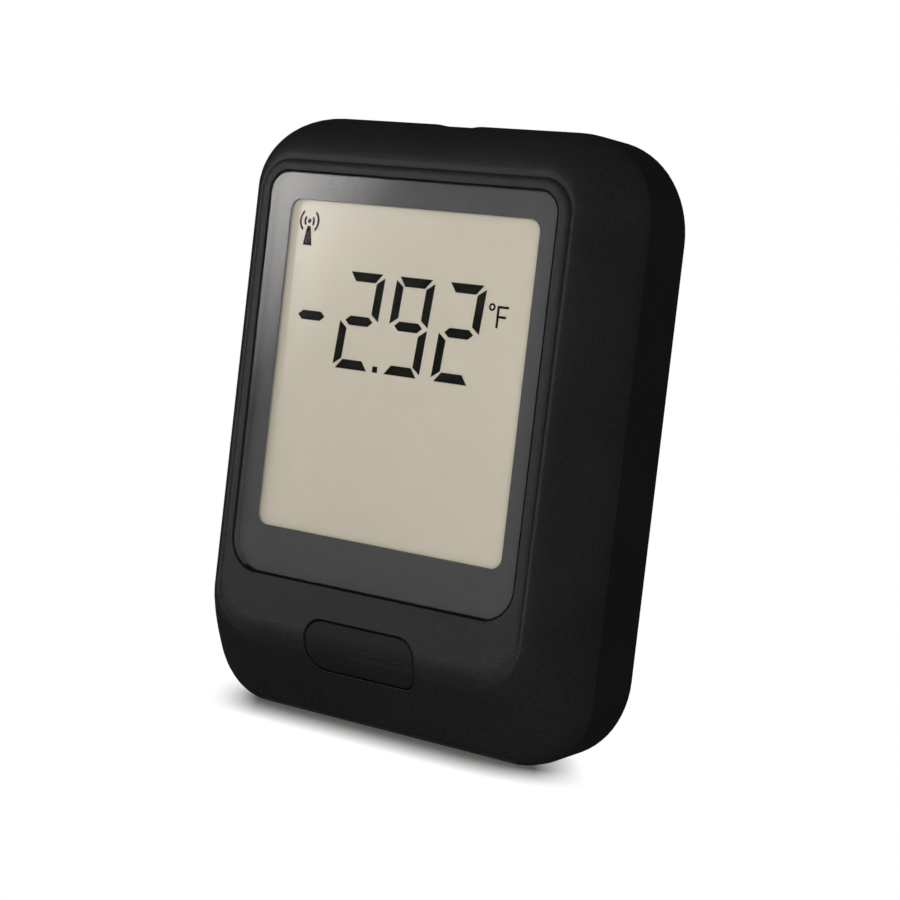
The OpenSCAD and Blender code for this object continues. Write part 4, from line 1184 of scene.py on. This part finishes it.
def make_window_card():
    """Upright card a metre off, which is what the window mirrors to the front left: dull, and
    bright towards the part that shows at the window's upper left corner."""
    centre = Vector((0, -CASE_D / 2 * MM, 0)) + CARD_TOWARD
    card = staged_mesh("window_card", [tuple(centre + CARD_ALONG * s + Vector((0, 0, z)))
                                       for s, z in CARD_CORNERS], [(0, 1, 2, 3)])
    map_corners(card.data, "place", CARD_CORNERS)
    mat, tree, _ = material("window_card")
    sideways, upwards = map_axes(tree)
    across = spread(tree, sideways, *GLARE_ACROSS, 0, -1)
    down = spread(tree, upwards, *GLARE_DOWN, 0, -1)
    for part in (across, down):
        part.node.clamp = False
    total = maths(tree, "ADD", across, down)
    make_card(card, mat, spread(tree, total, *GLARE_RISE, DULL, GLARE_LEVEL), GLARE_COLOUR)


# Build

bpy.context.scene.view_settings.view_transform = "Standard"
make_camera()
front_shell = make_front_shell()
rear_shell = make_rear_shell()
button = make_button()
window = pane("window_pane", window_outline, WINDOW_FRONT, WINDOW_BACK, WINDOW_EDGE,
              "display_window", view_outline())
front_glass = pane("front_glass_pane", glass_outline, GLASS_FRONT, GLASS_BACK, GLASS_EDGE,
                   "lcd_front_glass")

front_black = plastic("front_black", (20, 20, 19), (27, 27, 26), (0.48, 0.58), 2200,
                      depth=0.00007)
rear_black = plastic("rear_black", (15, 14, 13), (19, 18, 16), grain=2200)
button_black = plastic("button_black", (21, 21, 20), (26, 26, 25), (0.55, 0.65), 3000,
                       specular=0.3)
border_ink = plastic("border_ink", (72, 72, 73), (76, 76, 77), (0.2, 0.24), 300, strength=0.02,
                     specular=0.1)
window_clear = clear("window_clear", PANE_TINT, PANE_ROUGHNESS, PANE_SHINE)
window_coated = clear("window_coated", PANE_TINT, PANE_ROUGHNESS, COATED_SHINE)
display_glass = clear("display_glass", (0.99, 0.99, 0.985, 1), 0.1, COATED_SHINE)
natural = plastic("natural_plastic", (226, 222, 208), (236, 232, 222), strength=0.2)
dress(front_shell, front_black)
dress(rear_shell, rear_black)
dress(button, button_black)
# The rear shell's dark plastic on the window's sides is painted shade in the gap round the
# window.
dress_window(window, window_clear, window_coated, border_ink, rear_black)
dress(front_glass, display_glass)

for mat, names in (
        (border_ink, ["window_border"]),
        (natural, ["lcd_frame", "battery_header", "battery_plug"]),
        (plastic("tape_black", (20, 20, 20), (26, 26, 26)), ["window_tape", "battery_pad"]),
        (plastic("seal_rubber", (40, 40, 42), (50, 50, 52), (0.6, 0.75)), ["case_seal"]),
        (plastic("segment_ink", (15, 15, 14), (20, 20, 19), (0.5, 0.6), strength=0.1,
                 specular=0.03), ["lcd_segments"]),
        (plastic("display_field", (199, 191, 175), (203, 195, 179), (0.12, 0.15), 300,
                 strength=0.02, specular=0.4, variation=40), ["lcd_rear_glass"]),
        (plastic("zebra_rubber", (200, 160, 168), (212, 176, 182)), ["zebra_strip"]),
        (plastic("board_green", (24, 88, 48), (32, 104, 58), (0.3, 0.4)),
         ["main_board", "battery_circuit"]),
        (plastic("board_blue", (20, 52, 98), (26, 62, 112), (0.3, 0.4)), ["radio_board"]),
        (plastic("dark_resin", (30, 30, 32), (40, 40, 43)),
         ["switch_base", "switch_plunger", "usb_tongue", "microcontroller", "memory_chip",
          "charger_chip", "chip_resistors"]),
        (plastic("ceramic", (176, 150, 112), (192, 168, 130)), ["chip_capacitors"]),
        (plastic("ferrite", (74, 74, 78), (86, 86, 90)), ["power_inductor"]),
        (plastic("sensor_blue", (40, 84, 132), (50, 96, 146), (0.2, 0.3)),
         ["temperature_sensor"]),
        (plastic("lead_red", (176, 34, 28), (192, 44, 36)), ["battery_lead_red"]),
        (plastic("lead_black", (26, 26, 26), (34, 34, 34)), ["battery_lead_black"]),
        (plastic("label_silver", (186, 186, 184), (198, 198, 196), (0.35, 0.45),
                 strength=0.15), ["rating_label"]),
        (metal("reflector_film", (0.8, 0.8, 0.78, 1)), ["lcd_reflector"]),
        (metal("metal_bright", (0.72, 0.72, 0.72, 1)),
         ["board_screws", "usb_shell", "radio_shield", "switch_cover", "crystal"]),
        (metal("metal_black", (0.06, 0.06, 0.065, 1)), ["case_screws"]),
        (metal("gold", (0.85, 0.6, 0.22, 1)), ["usb_contacts", "radio_antenna", "switch_dome"]),
        (metal("pouch_aluminium", (0.66, 0.67, 0.69, 1), (0.3, 0.45)), ["battery_cell"])):
    for name in names:
        dress(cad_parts[name], mat)
paint_back(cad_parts["window_border"], natural)

for name in ("case_screws", "board_screws", "crystal", "power_inductor", "temperature_sensor",
             "switch_plunger", "switch_dome", "battery_lead_red", "battery_lead_black",
             "case_seal", "rating_label"):
    smooth_node(name)

make_floor()
make_world()
area_light("key", KEY_PLACE, KEY_SIZE, KEY_POWER)
area_light("back_fill", FILL_PLACE, FILL_SIZE, FILL_POWER)
make_flags()
make_softbox()
make_window_card()
